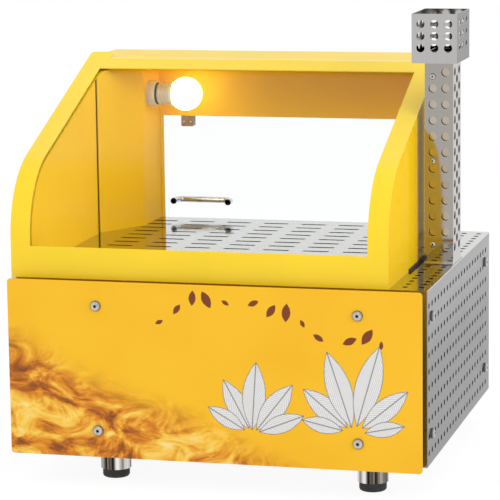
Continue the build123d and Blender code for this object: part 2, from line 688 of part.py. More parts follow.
# ------------------------------------------------------------------ burners and gas line
BURNER_START = FRONT + BURNER_FRONT
BURNER_L = BURNER_END - BURNER_START
with BuildPart() as burner_tubes:
    for burner_x in BURNERS_X:
        with BuildSketch(Plane.XZ.offset(-BURNER_START)):
            with Locations((burner_x, BURNER_Z)):
                Circle(BURNER_R)
        extrude(amount=-BURNER_L)
        with BuildSketch(Plane.XZ.offset(-BURNER_START - THIN)):
            with Locations((burner_x, BURNER_Z)):
                Circle(BURNER_R - THIN)
        extrude(amount=-(BURNER_L - THIN), mode=Mode.SUBTRACT)
        with Locations((burner_x, (BURNER_START + BURNER_END) / 2, BURNER_Z)):
            with GridLocations(PORT_PITCH, PORT_PITCH, 1, copies(BURNER_L - 2 * PORT_MARGIN, PORT_PITCH)):
                Cylinder(PORT_R, BURNER_R, align=LOW, mode=Mode.SUBTRACT)
save(burner_tubes.part, "burner_tubes")

LEG_LOW = BASE + SHEET
ANGLE_D = max(SIDE_SCREW_FRONT, SIDE_SCREW_BACK) + ANGLE_EDGE
with BuildPart() as inner_frame:
    # upright angles in the body's corners, screwed to the side panels
    for x_out, x_in, x_sheet in ((LEFT + 2 * SHEET, ANGLE_W, SHEET), (RIGHT - 2 * SHEET, -ANGLE_W, -SHEET)):
        for y_out, y_in, y_sheet in ((FRONT + 2 * SHEET, ANGLE_D, SHEET), (BACK - 2 * SHEET, -ANGLE_D, -SHEET)):
            with BuildSketch(Plane.XY.offset(LEG_LOW)):
                with BuildLine():
                    Polyline((x_out, y_out), (x_out + x_in, y_out), (x_out + x_in, y_out + y_sheet),
                             (x_out + x_sheet, y_out + y_sheet), (x_out + x_sheet, y_out + y_in),
                             (x_out, y_out + y_in), close=True)
                make_face()
            extrude(amount=BODY_H - 2 * SHEET)
    with BuildSketch(Plane.YZ.offset(LEFT)):
        with Locations(*SIDE_SCREWS):
            Circle(SHANK_R + HOLE_GAP)
    extrude(amount=BODY_W, mode=Mode.SUBTRACT)
    # square legs under the roasting chamber
    with BuildSketch(Plane.XY.offset(LEG_LOW)):
        with Locations((CH_X, (CH_FRONT + CH_BACK) / 2)):
            with GridLocations(CH_RIGHT - CH_LEFT - 2 * LEG_W, CH_BACK - CH_FRONT - 2 * LEG_W, 2, 2):
                Rectangle(LEG_W, LEG_W)
                Rectangle(LEG_W - 2 * THIN, LEG_W - 2 * THIN, mode=Mode.SUBTRACT)
    extrude(amount=CH_LOW - LEG_LOW)
    # notched plates that carry the burner tubes
    for support_y in (BURNER_START + SUPPORT_W, BURNER_END - SUPPORT_W):
        with BuildSketch(Plane.XZ.offset(-support_y)):
            for burner_x in BURNERS_X:
                with Locations((burner_x, LEG_LOW)):
                    Rectangle(SUPPORT_W, BURNER_Z - LEG_LOW + SUPPORT_T, align=(Align.CENTER, Align.MIN))
                with Locations((burner_x, BURNER_Z)):
                    Circle(BURNER_R + RUN_GAP, mode=Mode.SUBTRACT)
        extrude(amount=-SUPPORT_T)
save(inner_frame.part, "inner_frame")

MANIFOLD_LEFT = BURNERS_X[0] - MANIFOLD_END
with BuildPart() as gas_manifold:
    with BuildSketch(Plane.YZ.offset(MANIFOLD_LEFT)):
        with Locations((MANIFOLD_Y, BURNER_Z)):
            Circle(MANIFOLD_R)
    extrude(amount=VALVE_X - VALVE_W / 2 - MANIFOLD_LEFT)
    for burner_x in BURNERS_X:
        block(burner_x - SPUD_W / 2, burner_x + SPUD_W / 2, BURNER_END, MANIFOLD_Y,
              BURNER_Z - SPUD_W / 2, BURNER_Z + SPUD_W / 2)
save(gas_manifold.part, "gas_manifold")

with BuildPart() as gas_valve:
    block(VALVE_X - VALVE_W / 2, VALVE_X + VALVE_W / 2, MANIFOLD_Y - VALVE_D / 2, MANIFOLD_Y + VALVE_D / 2,
          BURNER_Z - VALVE_H / 2, BURNER_Z + VALVE_H / 2)
    fillet(gas_valve.edges().filter_by(Axis.Y), VALVE_ROUND)
    with BuildSketch(rear_plane(VALVE_X, BURNER_Z, MANIFOLD_Y + VALVE_D / 2)):
        Circle(NECK_R)
    extrude(amount=BACK - SHEET - MANIFOLD_Y - VALVE_D / 2)
    with BuildSketch(rear_plane(VALVE_X, BURNER_Z, BACK - SHEET)):
        Circle(SPINDLE_R + RUN_GAP)
    extrude(amount=-(SPINDLE_IN + FIT), mode=Mode.SUBTRACT)
save(gas_valve.part, "gas_valve")

KNOB_IN = BACK + KNOB_GAP
with BuildPart() as valve_spindle:
    with BuildSketch(rear_plane(VALVE_X, BURNER_Z, BACK - SHEET - SPINDLE_IN)):
        Circle(SPINDLE_R)
    extrude(amount=SPINDLE_IN + SHEET + KNOB_GAP + KNOB_BASE_T)
save(valve_spindle.part, "valve_spindle")

with BuildPart() as gas_knob:
    with BuildSketch(rear_plane(VALVE_X, BURNER_Z, KNOB_IN)):
        Circle(KNOB_R)
    extrude(amount=KNOB_BASE_T)
    chamfer(gas_knob.faces().sort_by(Axis.Y)[-1].edges(), KNOB_CHAMFER)
    with BuildSketch(rear_plane(VALVE_X, BURNER_Z, KNOB_IN + KNOB_BASE_T)):
        SlotOverall(2 * (KNOB_R - KNOB_GRIP_EDGE), KNOB_GRIP_W, rotation=90)
    extrude(amount=KNOB_GRIP_H)
    fillet(gas_knob.faces().sort_by(Axis.Y)[-1].edges(), KNOB_ROUND)
    with BuildSketch(rear_plane(VALVE_X, BURNER_Z, KNOB_IN)):
        Circle(SPINDLE_R + RUN_GAP)
    extrude(amount=KNOB_BASE_T, mode=Mode.SUBTRACT)
save(gas_knob.part, "gas_knob")

with BuildPart() as gas_inlet:
    with BuildLine() as inlet_path:
        FilletPolyline((VALVE_X + VALVE_W / 2, MANIFOLD_Y, BURNER_Z), (INLET_X, MANIFOLD_Y, BURNER_Z),
                       (INLET_X, BACK + INLET_OUT, BURNER_Z), radius=INLET_BEND_R)
    with BuildSketch(Plane(origin=inlet_path.wire() @ 0, z_dir=inlet_path.wire() % 0)):
        Circle(PIPE_R)
    sweep()
    chamfer(gas_inlet.faces().sort_by(Axis.Y)[-1].edges(), INLET_CHAMFER)
    with BuildSketch(rear_plane(INLET_X, BURNER_Z)):
        RegularPolygon(INLET_NUT_R, 6)
    extrude(amount=INLET_NUT_T)
    with BuildSketch(rear_plane(INLET_X, BURNER_Z, BACK + INLET_OUT)):
        Circle(PIPE_BORE_R)
    extrude(amount=-(INLET_OUT + SHEET), mode=Mode.SUBTRACT)
save(gas_inlet.part, "gas_inlet")

# ------------------------------------------------------------------ controls
with BuildPart() as gauge_housing:
    with BuildSketch(rear_plane(VALVE_X, GAUGE_Z, BACK - GAUGE_DEPTH)):
        Circle(GAUGE_BARREL_R)
    extrude(amount=GAUGE_DEPTH + GAUGE_BEZEL_T)
    with BuildSketch(rear_plane(VALVE_X, GAUGE_Z)):
        Circle(GAUGE_R)
    extrude(amount=GAUGE_BEZEL_T)
    fillet(gauge_housing.faces().sort_by(Axis.Y)[-1].edges(), GAUGE_ROUND)
    with BuildSketch(rear_plane(VALVE_X, GAUGE_Z, BACK - GAUGE_DIAL_IN)):
        Circle(GAUGE_BARREL_R - GAUGE_RIM)
    extrude(amount=GAUGE_DIAL_IN + GAUGE_BEZEL_T, mode=Mode.SUBTRACT)
    with BuildSketch(rear_plane(VALVE_X, GAUGE_Z, BACK - GAUGE_DIAL_IN)):
        Circle(NEEDLE_PIN_R + RUN_GAP)
    extrude(amount=-NEEDLE_PIN_L, mode=Mode.SUBTRACT)
save(gauge_housing.part, "gauge_housing")

NEEDLE_Y = BACK - GAUGE_DIAL_IN + FIT
with BuildPart() as gauge_needle:
    with BuildSketch(rear_plane(VALVE_X, GAUGE_Z, NEEDLE_Y, turn=NEEDLE_REST)):
        Circle(NEEDLE_HUB_R)
        with BuildLine():
            Polyline((-NEEDLE_HALF_W, 0), (0, -NEEDLE_TAIL), (NEEDLE_HALF_W, 0), (0, NEEDLE_L), close=True)
        make_face()
    extrude(amount=NEEDLE_T)
    with BuildSketch(rear_plane(VALVE_X, GAUGE_Z, NEEDLE_Y)):
        Circle(NEEDLE_PIN_R)
    extrude(amount=-NEEDLE_PIN_L)
save(gauge_needle.part, "gauge_needle")

with BuildPart() as gauge_lens:
    with BuildSketch(rear_plane(VALVE_X, GAUGE_Z, BACK + GAUGE_BEZEL_T / 2)):
        Circle(GAUGE_BARREL_R - GAUGE_RIM - RUN_GAP)
    extrude(amount=LENS_T)
save(gauge_lens.part, "gauge_lens")

with BuildPart() as igniter_housing:
    with BuildSketch(rear_plane(BUTTON_X, CONTROL_Z)):
        Circle(BUTTON_BEZEL_R)
    extrude(amount=BUTTON_BEZEL_T)
    fillet(igniter_housing.faces().sort_by(Axis.Y)[-1].edges(), BEZEL_ROUND)
    with BuildSketch(rear_plane(BUTTON_X, CONTROL_Z)):
        Circle(BUTTON_BARREL_R)
    extrude(amount=-BUTTON_BARREL_L)
    with BuildSketch(rear_plane(BUTTON_X, CONTROL_Z, BACK + BUTTON_BEZEL_T)):
        Circle(BUTTON_R + RUN_GAP)
    extrude(amount=-(BUTTON_BEZEL_T + BUTTON_L - BUTTON_OUT + BUTTON_SPACE), mode=Mode.SUBTRACT)
save(igniter_housing.part, "igniter_housing")

with BuildPart() as igniter_button:
    with BuildSketch(rear_plane(BUTTON_X, CONTROL_Z, BACK + BUTTON_OUT)):
        Circle(BUTTON_R)
    extrude(amount=-BUTTON_L)
    fillet(igniter_button.faces().sort_by(Axis.Y)[-1].edges(), BUTTON_ROUND)
save(igniter_button.part, "igniter_button")

ROCKER_CAVITY_D = SWITCH_BEZEL_T + ROCKER_IN + ROCKER_SILL + ROCKER_T
ROCKER_PIN_L = ROCKER_W + 2 * ROCKER_PIN_IN
with BuildPart() as lamp_switch_housing:
    with BuildSketch(rear_plane(SWITCH_X, CONTROL_Z)):
        RectangleRounded(SWITCH_W, SWITCH_H, SWITCH_BEZEL_LAP)
    extrude(amount=SWITCH_BEZEL_T)
    with BuildSketch(rear_plane(SWITCH_X, CONTROL_Z)):
        Rectangle(SWITCH_IN_W, SWITCH_IN_H)
    extrude(amount=-SWITCH_DEPTH)
    with BuildSketch(rear_plane(SWITCH_X, CONTROL_Z, BACK + SWITCH_BEZEL_T)):
        Rectangle(ROCKER_W + 2 * FIT, 2 * (ROCKER_HALF + ROCKER_SPACE))
    extrude(amount=-ROCKER_CAVITY_D, mode=Mode.SUBTRACT)
    with BuildSketch(Plane.YZ.offset(SWITCH_X - ROCKER_PIN_L / 2 - HOLE_GAP)):
        with Locations((ROCKER_Y, CONTROL_Z)):
            Circle(ROCKER_PIN_R + RUN_GAP)
    extrude(amount=ROCKER_PIN_L + 2 * HOLE_GAP, mode=Mode.SUBTRACT)
save(lamp_switch_housing.part, "lamp_switch_housing")

# at rest the rocker's upper end stands out, and it tips by twice ROCKER_TILT
TILT = radians(ROCKER_TILT)
with BuildPart() as lamp_switch_rocker:
    with BuildSketch(Plane(origin=(SWITCH_X - ROCKER_W / 2, ROCKER_Y, CONTROL_Z),
                           x_dir=(0, cos(TILT), -sin(TILT)), z_dir=(1, 0, 0))):
        with BuildLine():
            Polyline((-ROCKER_SILL, -ROCKER_HALF), (ROCKER_T, -ROCKER_HALF), (ROCKER_T - ROCKER_DISH, 0),
                     (ROCKER_T, ROCKER_HALF), (-ROCKER_SILL, ROCKER_HALF), (-ROCKER_T / 2, 0), close=True)
        make_face()
    extrude(amount=ROCKER_W)
    with BuildSketch(Plane.YZ.offset(SWITCH_X - ROCKER_PIN_L / 2)):
        with Locations((ROCKER_Y, CONTROL_Z)):
            Circle(ROCKER_PIN_R)
    extrude(amount=ROCKER_PIN_L)
save(lamp_switch_rocker.part, "lamp_switch_rocker")

with BuildPart() as cable_gland:
    with BuildSketch(rear_plane(GLAND_X, GLAND_Z)):
        RegularPolygon(GLAND_R, 6)
    extrude(amount=GLAND_NUT_T)
    with BuildSketch(rear_plane(GLAND_X, GLAND_Z, BACK - GLAND_IN)):
        Circle(GLAND_R - GLAND_STEP)
    extrude(amount=GLAND_IN + GLAND_OUT)
    chamfer(cable_gland.faces().sort_by(Axis.Y)[-1].edges(), GLAND_STEP)
    with BuildSketch(rear_plane(GLAND_X, GLAND_Z, BACK - GLAND_IN)):
        Circle(GLAND_BORE_R)
    extrude(amount=GLAND_IN + GLAND_OUT, mode=Mode.SUBTRACT)
save(cable_gland.part, "cable_gland")


# ------------------------------------------------------------------ flue, guard and cap
BOX_RIGHT = FLUE_X + FLUE_W / 2
BOX_Y0 = FLUE_Y - FLUE_D / 2 - FLUE_BOX_SIDE
BOX_Y1 = FLUE_Y + FLUE_D / 2 + FLUE_BOX_SIDE
with BuildPart() as flue_duct:
    block(CH_RIGHT, BOX_RIGHT + THIN, BOX_Y0, BOX_Y1, FLUE_BOX_TOP - FLUE_BOX_H, FLUE_BOX_TOP)
    block(CH_RIGHT, BOX_RIGHT, BOX_Y0 + THIN, BOX_Y1 - THIN, FLUE_BOX_TOP - FLUE_BOX_H + THIN,
          FLUE_BOX_TOP - THIN, mode=Mode.SUBTRACT)
    with BuildSketch(Plane.XY.offset(FLUE_BOX_TOP - THIN)):
        with Locations((FLUE_X, FLUE_Y)):
            Rectangle(FLUE_W - 2 * FLUE_T, FLUE_D - 2 * FLUE_T)
    extrude(amount=THIN, mode=Mode.SUBTRACT)
    with BuildSketch(Plane.XY.offset(FLUE_BOX_TOP)):
        with Locations((FLUE_X, FLUE_Y)):
            Rectangle(FLUE_W, FLUE_D)
            Rectangle(FLUE_W - 2 * FLUE_T, FLUE_D - 2 * FLUE_T, mode=Mode.SUBTRACT)
    extrude(amount=CAP_LOW + FLUE_IN_CAP - FLUE_BOX_TOP)
save(flue_duct.part, "flue_duct")

GUARD_SCREWS_Z = [DECK + GUARD_SCREW_LOW + step * GUARD_SCREW_STEP for step in (0, 1, 2)]
GUARD_SCREWS = [(FLUE_X - GUARD_COL_X, z) for z in GUARD_SCREWS_Z]
GUARD_ROWS = copies(GUARD_H - GUARD_FIRST_ROW - GUARD_END_ROW, PERF_PITCH)
GUARD_FRONT_HOLES = [
    (FLUE_X + side * GUARD_COL_X, DECK + GUARD_FIRST_ROW + row * PERF_PITCH)
    for side in (-1, 1)
    for row in range(GUARD_ROWS)
]
GUARD_FRONT_HOLES = [
    point for point in GUARD_FRONT_HOLES
    if far_from(point, GUARD_SCREWS, GUARD_PERF_R + SMALL_SHANK_R + PERF_LAND)
]
GUARD_SIDE_HOLES = [
    (FLUE_Y + side * GUARD_COL_Y, DECK + GUARD_FIRST_ROW + row * PERF_PITCH)
    for side in (-1, 1)
    for row in range(GUARD_ROWS)
] + [
    (FLUE_Y, DECK + GUARD_FIRST_ROW + (row + 0.5) * PERF_PITCH)
    for row in range(GUARD_ROWS - 1)
]

with BuildPart() as flue_guard:
    with BuildSketch(Plane.XY.offset(DECK)):
        with Locations((FLUE_X, FLUE_Y)):
            Rectangle(GUARD_W, GUARD_D)
            Rectangle(GUARD_W - 2 * THIN, GUARD_D - 2 * THIN, mode=Mode.SUBTRACT)
    extrude(amount=GUARD_H)
    with BuildSketch(Plane.XZ.offset(-FLUE_Y + GUARD_D / 2)):
        with Locations(*GUARD_FRONT_HOLES):
            Circle(GUARD_PERF_R)
        with Locations(*GUARD_SCREWS):
            Circle(SMALL_SHANK_R + HOLE_GAP)
    extrude(amount=-GUARD_D, mode=Mode.SUBTRACT)
    with BuildSketch(Plane.YZ.offset(FLUE_X - GUARD_W / 2)):
        with Locations(*GUARD_SIDE_HOLES):
            Circle(GUARD_PERF_R)
    extrude(amount=GUARD_W, mode=Mode.SUBTRACT)
    # bent tabs that hold the guard's front and back to the deck
    for side in (-1, 1):
        wall = FLUE_Y + side * GUARD_D / 2
        with BuildSketch(Plane.YZ.offset(FLUE_X - GUARD_W / 2)):
            with BuildLine():
                FilletPolyline((wall + side * TAB_T, DECK + TAB_UP), (wall + side * TAB_T, DECK + TAB_T),
                               (wall + side * TAB_OUT, DECK + TAB_T), radius=TAB_BEND_R)
                Polyline((wall + side * TAB_OUT, DECK + TAB_T), (wall + side * TAB_OUT, DECK),
                         (wall, DECK), (wall, DECK + TAB_UP), (wall + side * TAB_T, DECK + TAB_UP))
            make_face()
        extrude(amount=GUARD_W)
save(flue_guard.part, "flue_guard")

save(domed_screws(Plane.XZ.offset(-FLUE_Y + GUARD_D / 2), GUARD_SCREWS, THIN + FLUE_GAP,
                  SMALL_HEAD_R, SMALL_HEAD_H, SMALL_SHANK_R), "flue_guard_screws")

CAP_ROWS = [CAP_LOW + CAP_H - CAP_ROW_TOP - row * CAP_ROW_PITCH for row in (0, 1, 2)]
with BuildPart() as flue_cap:
    with BuildSketch(Plane.XY.offset(CAP_LOW)):
        with Locations((CAP_X, FLUE_Y)):
            Rectangle(CAP_W, CAP_D)
        with Locations((FLUE_X, FLUE_Y)):
            Rectangle(FLUE_W + 2 * FLUE_HOLE_GAP, FLUE_D + 2 * FLUE_HOLE_GAP, mode=Mode.SUBTRACT)
    extrude(amount=THIN)
    with BuildSketch(Plane.XY.offset(CAP_LOW)):
        with Locations((CAP_X, FLUE_Y)):
            Rectangle(CAP_W, CAP_D)
            Rectangle(CAP_W - 2 * THIN, CAP_D - 2 * THIN, mode=Mode.SUBTRACT)
    extrude(amount=CAP_H)
    with BuildSketch(Plane.XZ.offset(-FLUE_Y + CAP_D / 2)):
        with Locations(*[(CAP_X + column * CAP_COL_X, z) for column in (-1, 0, 1) for z in CAP_ROWS]):
            Circle(CAP_PERF_R)
    extrude(amount=-CAP_D, mode=Mode.SUBTRACT)
    with BuildSketch(Plane.YZ.offset(CAP_X - CAP_W / 2)):
        with Locations(*[(FLUE_Y + column * CAP_COL_Y, z) for column in (-1, 0, 1) for z in CAP_ROWS]):
            Circle(CAP_PERF_R)
    extrude(amount=CAP_W, mode=Mode.SUBTRACT)
save(flue_cap.part, "flue_cap")


# ------------------------------------------------------------------ hood
def hood_outline(x, inset, low=DECK, back=HOOD_BACK):
    """The hood's side outline in the plane at `x`, `inset` inside its outer skin.

    It rises upright from `low`, turns over the nose, climbs the slope, runs flat to `back`.
    """
    with BuildSketch(Plane.YZ.offset(x)) as outline:
        with BuildLine():
            upright = Line((FRONT + inset, low), (FRONT + inset, NOSE_CENTRE_Z))
            nose = JernArc(start=upright @ 1, tangent=upright % 1, radius=NOSE_R - inset,
                           arc_size=-(90 - HOOD_SLOPE))
            Polyline(nose @ 1, (BEND_Y + inset * tan(SLOPE / 2), HOOD_TOP - inset),
                     (back, HOOD_TOP - inset), (back, low), upright @ 0)
        make_face()
    return outline.sketch


def hood_layer(x0, x1, outer, inner):
    """A layer of the hood's front, slope and top between two insets, in the active part."""
    extrude(hood_outline(x0, outer), amount=x1 - x0)
    extrude(hood_outline(x0, inner, low=DECK - 1, back=HOOD_BACK + 1), amount=x1 - x0,
            mode=Mode.SUBTRACT)


WINDOW_X0 = LEFT + HOOD_WALL
WINDOW_X1 = HOOD_RIGHT - HOOD_WALL
SILL_Z = DECK + WINDOW_SILL
WINDOW_TOP = BEND_Y - WINDOW_BORDER
FRAME_END = BEND_Y + FRAME_LAP

with BuildPart() as hood_front_frame:
    hood_layer(LEFT, HOOD_RIGHT, 0, FRAME_T)
    block(LEFT, HOOD_RIGHT, FRAME_END, HOOD_BACK, DECK, HOOD_TOP, mode=Mode.SUBTRACT)
    block(WINDOW_X0, WINDOW_X1, FRONT, WINDOW_TOP, SILL_Z, HOOD_TOP, mode=Mode.SUBTRACT)
    # the side borders run on past the bend, level with the slope
    for ear_x in (LEFT + EAR_W / 2, HOOD_RIGHT - EAR_W / 2):
        with BuildSketch(Plane(origin=(ear_x, BEND_Y, HOOD_TOP), x_dir=(1, 0, 0),
                               z_dir=(0, -sin(SLOPE), cos(SLOPE)))):
            RectangleRounded(EAR_W, 2 * EAR_L, EAR_R)
        extrude(amount=-FRAME_T)
save(hood_front_frame.part, "hood_front_frame")

PAN_W = HOOD_WALL - LINING_T
PAN_LIP = HOOD_WALL - GLASS_LAP - FIT


def hood_side(skin, inward):
    """Outer half of a double side wall, skin outside, open towards the lining."""
    with BuildPart() as side:
        extrude(hood_outline(skin, FRAME_T), amount=inward * PAN_LIP)
        extrude(hood_outline(skin, STEP_INSET), amount=inward * PAN_W)
        extrude(hood_outline(skin + inward * THIN, FRAME_T + THIN, low=DECK + THIN, back=HOOD_BACK - THIN),
                amount=inward * (PAN_LIP - 2 * THIN), mode=Mode.SUBTRACT)
        extrude(hood_outline(skin + inward * THIN, STEP_INSET + THIN, low=DECK + THIN, back=HOOD_BACK - THIN),
                amount=inward * (PAN_W - THIN), mode=Mode.SUBTRACT)
    return side.part


save(hood_side(LEFT, 1), "hood_left_side")
save(hood_side(HOOD_RIGHT, -1), "hood_right_side")

# inner sheets of the double side walls, each in two lengths with an upright gap between them;
# the rear left one stands on the display floor and is folded out, to carry the lamp over its cable
LINING_GAP = FRONT + LINING_GAP_Y
LINING_REAR = LINING_GAP + LINING_GAP_W
LAMP_FACE_X = LEFT + LAMP_X
with BuildPart() as folded_lining:
    with BuildSketch(Plane.XY.offset(DECK + FLOOR_H)):
        with BuildLine():
            Polyline((WINDOW_X0, LINING_REAR), (WINDOW_X0, LINING_REAR + FOLD_LIP),
                     (LAMP_FACE_X, REAR_FACE - LAMP_FACE_D), (LAMP_FACE_X, REAR_FACE))
            offset(amount=LINING_T, side=Side.LEFT, kind=Kind.INTERSECTION)
        make_face()
    extrude(amount=HOOD_TOP - DECK - FLOOR_H)
    extrude(hood_outline(LEFT, STEP_INSET), amount=HOOD_RIGHT - LEFT, mode=Mode.INTERSECT)

with BuildPart() as hood_linings:
    extrude(hood_outline(WINDOW_X0 - LINING_T, STEP_INSET), amount=LINING_T)
    block(WINDOW_X0 - LINING_T, WINDOW_X0, LINING_GAP, HOOD_BACK, DECK, HOOD_TOP, mode=Mode.SUBTRACT)
    extrude(hood_outline(WINDOW_X1, STEP_INSET), amount=LINING_T)
    block(WINDOW_X1, WINDOW_X1 + LINING_T, LINING_GAP, LINING_REAR, DECK, HOOD_TOP, mode=Mode.SUBTRACT)
    add(folded_lining)
save(hood_linings.part, "hood_linings")

with BuildPart() as hood_top_panel:
    block(LEFT, HOOD_RIGHT, FRAME_END, HOOD_BACK, HOOD_TOP - FRAME_T, HOOD_TOP)
save(hood_top_panel.part, "hood_top_panel")

GLASS_X0 = WINDOW_X0 - GLASS_LAP
GLASS_X1 = WINDOW_X1 + GLASS_LAP
GLASS_Y1 = WINDOW_TOP + GLASS_LAP
GLASS_Z0 = SILL_Z - GLASS_LAP

with BuildPart() as hood_glass:
    hood_layer(GLASS_X0, GLASS_X1, GLASS_INSET, GLASS_INSET + GLASS_T)
    block(GLASS_X0, GLASS_X1, GLASS_Y1, HOOD_BACK, DECK, HOOD_TOP, mode=Mode.SUBTRACT)
    block(GLASS_X0, GLASS_X1, FRONT, HOOD_BACK, DECK, GLASS_Z0, mode=Mode.SUBTRACT)
save(hood_glass.part, "hood_glass")

with BuildPart() as hood_glass_seal:
    hood_layer(GLASS_X0, GLASS_X1, FRAME_T, GLASS_INSET)
    block(GLASS_X0, GLASS_X1, GLASS_Y1, HOOD_BACK, DECK, HOOD_TOP, mode=Mode.SUBTRACT)
    block(GLASS_X0, GLASS_X1, FRONT, HOOD_BACK, DECK, GLASS_Z0, mode=Mode.SUBTRACT)
    block(WINDOW_X0 - SEAL_T, WINDOW_X1 + SEAL_T, FRONT, WINDOW_TOP + SEAL_T, SILL_Z - SEAL_T, HOOD_TOP,
          mode=Mode.SUBTRACT)
save(hood_glass_seal.part, "hood_glass_seal")

with BuildPart() as hood_side_trim:
    block(HOOD_RIGHT, HOOD_RIGHT + TRIM_W, FRONT + TRIM_START, REAR_FACE, DECK, DECK + TRIM_H)
save(hood_side_trim.part, "hood_side_trim")

FLOOR_COLS = copies(WINDOW_X1 - WINDOW_X0 - 2 * SLOT_MARGIN - SLOT_L, SLOT_PITCH_X)
FLOOR_ROWS = copies(FLOOR_Y1 - FLOOR_Y0 - 2 * SLOT_MARGIN - SLOT_W, SLOT_PITCH_Y)
with BuildPart() as display_floor:
    block(WINDOW_X0 + FLOOR_GAP, WINDOW_X1 - FLOOR_GAP, FLOOR_Y0, FLOOR_Y1, DECK, DECK + FLOOR_H)
    block(WINDOW_X0 + FLOOR_GAP + THIN, WINDOW_X1 - FLOOR_GAP - THIN, FLOOR_Y0 + THIN, FLOOR_Y1 - THIN,
          DECK, DECK + FLOOR_H - THIN, mode=Mode.SUBTRACT)
    with BuildSketch(Plane.XY.offset(DECK + FLOOR_H - THIN)):
        with Locations((FLOOR_X, FLOOR_Y)):
            with GridLocations(SLOT_PITCH_X, SLOT_PITCH_Y, FLOOR_COLS, FLOOR_ROWS):
                SlotOverall(SLOT_L, SLOT_W)
    extrude(amount=THIN, mode=Mode.SUBTRACT)
save(display_floor.part, "display_floor")


# ------------------------------------------------------------------ hood's rear frame
POST_IN_L = WINDOW_X0 + POST_W
POST_IN_R = WINDOW_X1 - POST_W

with BuildPart() as hood_rear_frame:
    for x0, x1 in ((WINDOW_X0, POST_IN_L), (POST_IN_R, WINDOW_X1)):
        block(x0, x1, REAR_FACE, HOOD_BACK, DECK, HEADER_Z)
        block(x0 + THIN, x1 - THIN, REAR_FACE + THIN, HOOD_BACK - THIN, DECK, HEADER_Z, mode=Mode.SUBTRACT)
    block(WINDOW_X0, WINDOW_X1, REAR_FACE, HOOD_BACK, HEADER_Z, HOOD_TOP - FRAME_T)
    block(WINDOW_X0, WINDOW_X1, REAR_FACE + THIN, HOOD_BACK - THIN, HEADER_Z + THIN,
          HOOD_TOP - FRAME_T - THIN, mode=Mode.SUBTRACT)
save(hood_rear_frame.part, "hood_rear_frame")

# ------------------------------------------------------------------ rear door
DOOR_X0 = POST_IN_L - DOOR_LAP
DOOR_X1 = POST_IN_R + DOOR_LAP
DOOR_Y0 = HOOD_BACK + DOOR_GAP
DOOR_Y1 = DOOR_Y0 + DOOR_T
DOOR_Z0 = DECK + DOOR_LIFT
DOOR_Z1 = HEADER_Z + DOOR_LAP
AXIS_X = DOOR_X1 + HINGE_OFF
AXIS_Y = HOOD_BACK + FIT + KNUCKLE_R
HINGES_Z = [DOOR_Z0 + HINGE_LOW, DOOR_Z1 - HINGE_LOW - HINGE_H]
KNUCKLE_H = HINGE_H / 3

with BuildPart() as rear_door_glass:
    block(DOOR_X0, DOOR_X1, DOOR_Y0, DOOR_Y1, DOOR_Z0, DOOR_Z1)
save(rear_door_glass.part, "rear_door_glass")

with BuildPart() as door_hinge_brackets:
    for hinge_z in HINGES_Z:
        for knuckle_z in (hinge_z, hinge_z + 2 * KNUCKLE_H):
            block(AXIS_X, WINDOW_X1, HOOD_BACK, HOOD_BACK + LEAF_T, knuckle_z, knuckle_z + KNUCKLE_H)
            with Locations((AXIS_X, AXIS_Y, knuckle_z)):
                Cylinder(KNUCKLE_R, KNUCKLE_H, align=LOW)
        with Locations((AXIS_X, AXIS_Y, hinge_z)):
            Cylinder(HINGE_PIN_R, HINGE_H, align=LOW)
save(door_hinge_brackets.part, "door_hinge_brackets")

CATCH_X0 = LEFT + CATCH_X
with BuildPart() as rear_door_fittings:
    # hinge leaves, bonded to the outer face of the glass
    for hinge_z in HINGES_Z:
        moving_z = hinge_z + KNUCKLE_H + FIT
        moving_h = KNUCKLE_H - 2 * FIT
        block(AXIS_X - HINGE_OFF - LEAF_W, AXIS_X, DOOR_Y1, DOOR_Y1 + LEAF_T, moving_z, moving_z + moving_h)
        block(AXIS_X - KNUCKLE_R, AXIS_X, AXIS_Y, DOOR_Y1 + LEAF_T, moving_z, moving_z + moving_h)
        with Locations((AXIS_X, AXIS_Y, moving_z)):
            Cylinder(KNUCKLE_R, moving_h, align=LOW)
            Cylinder(HINGE_PIN_R + RUN_GAP, moving_h, align=LOW, mode=Mode.SUBTRACT)
    # strike plate, bonded to the inner face of the glass opposite the catch
    block(CATCH_X0 + STRIKE_EDGE, CATCH_X0 + CATCH_W - STRIKE_EDGE, DOOR_Y0 - STRIKE_T, DOOR_Y0,
          HEADER_Z - CATCH_H + STRIKE_EDGE, HEADER_Z - STRIKE_EDGE)
save(rear_door_fittings.part, "rear_door_fittings")

DOOR_HANDLE_X = DOOR_X0 + DOOR_HANDLE_IN + DOOR_HANDLE_SPAN / 2
DOOR_HANDLE_SEAT = Plane(origin=(DOOR_HANDLE_X, DOOR_Y1, DOOR_Z0 + DOOR_HANDLE_UP),
                         x_dir=(1, 0, 0), z_dir=(0, 0, 1))
save(bow_handle(DOOR_HANDLE_SEAT, DOOR_HANDLE_SPAN, DOOR_HANDLE_REACH), "rear_door_handle")

with BuildPart() as door_catch:
    block(CATCH_X0, CATCH_X0 + CATCH_W, REAR_FACE, HOOD_BACK, HEADER_Z - CATCH_H, HEADER_Z)
    fillet(door_catch.edges().filter_by(Axis.Y).group_by(Axis.Z)[0], CATCH_ROUND)
save(door_catch.part, "door_catch")


# ------------------------------------------------------------------ display lamp
LAMP_Y = REAR_FACE - LAMP_FROM_REAR
LAMP_AXIS_Z = HEADER_Z + LAMP_Z

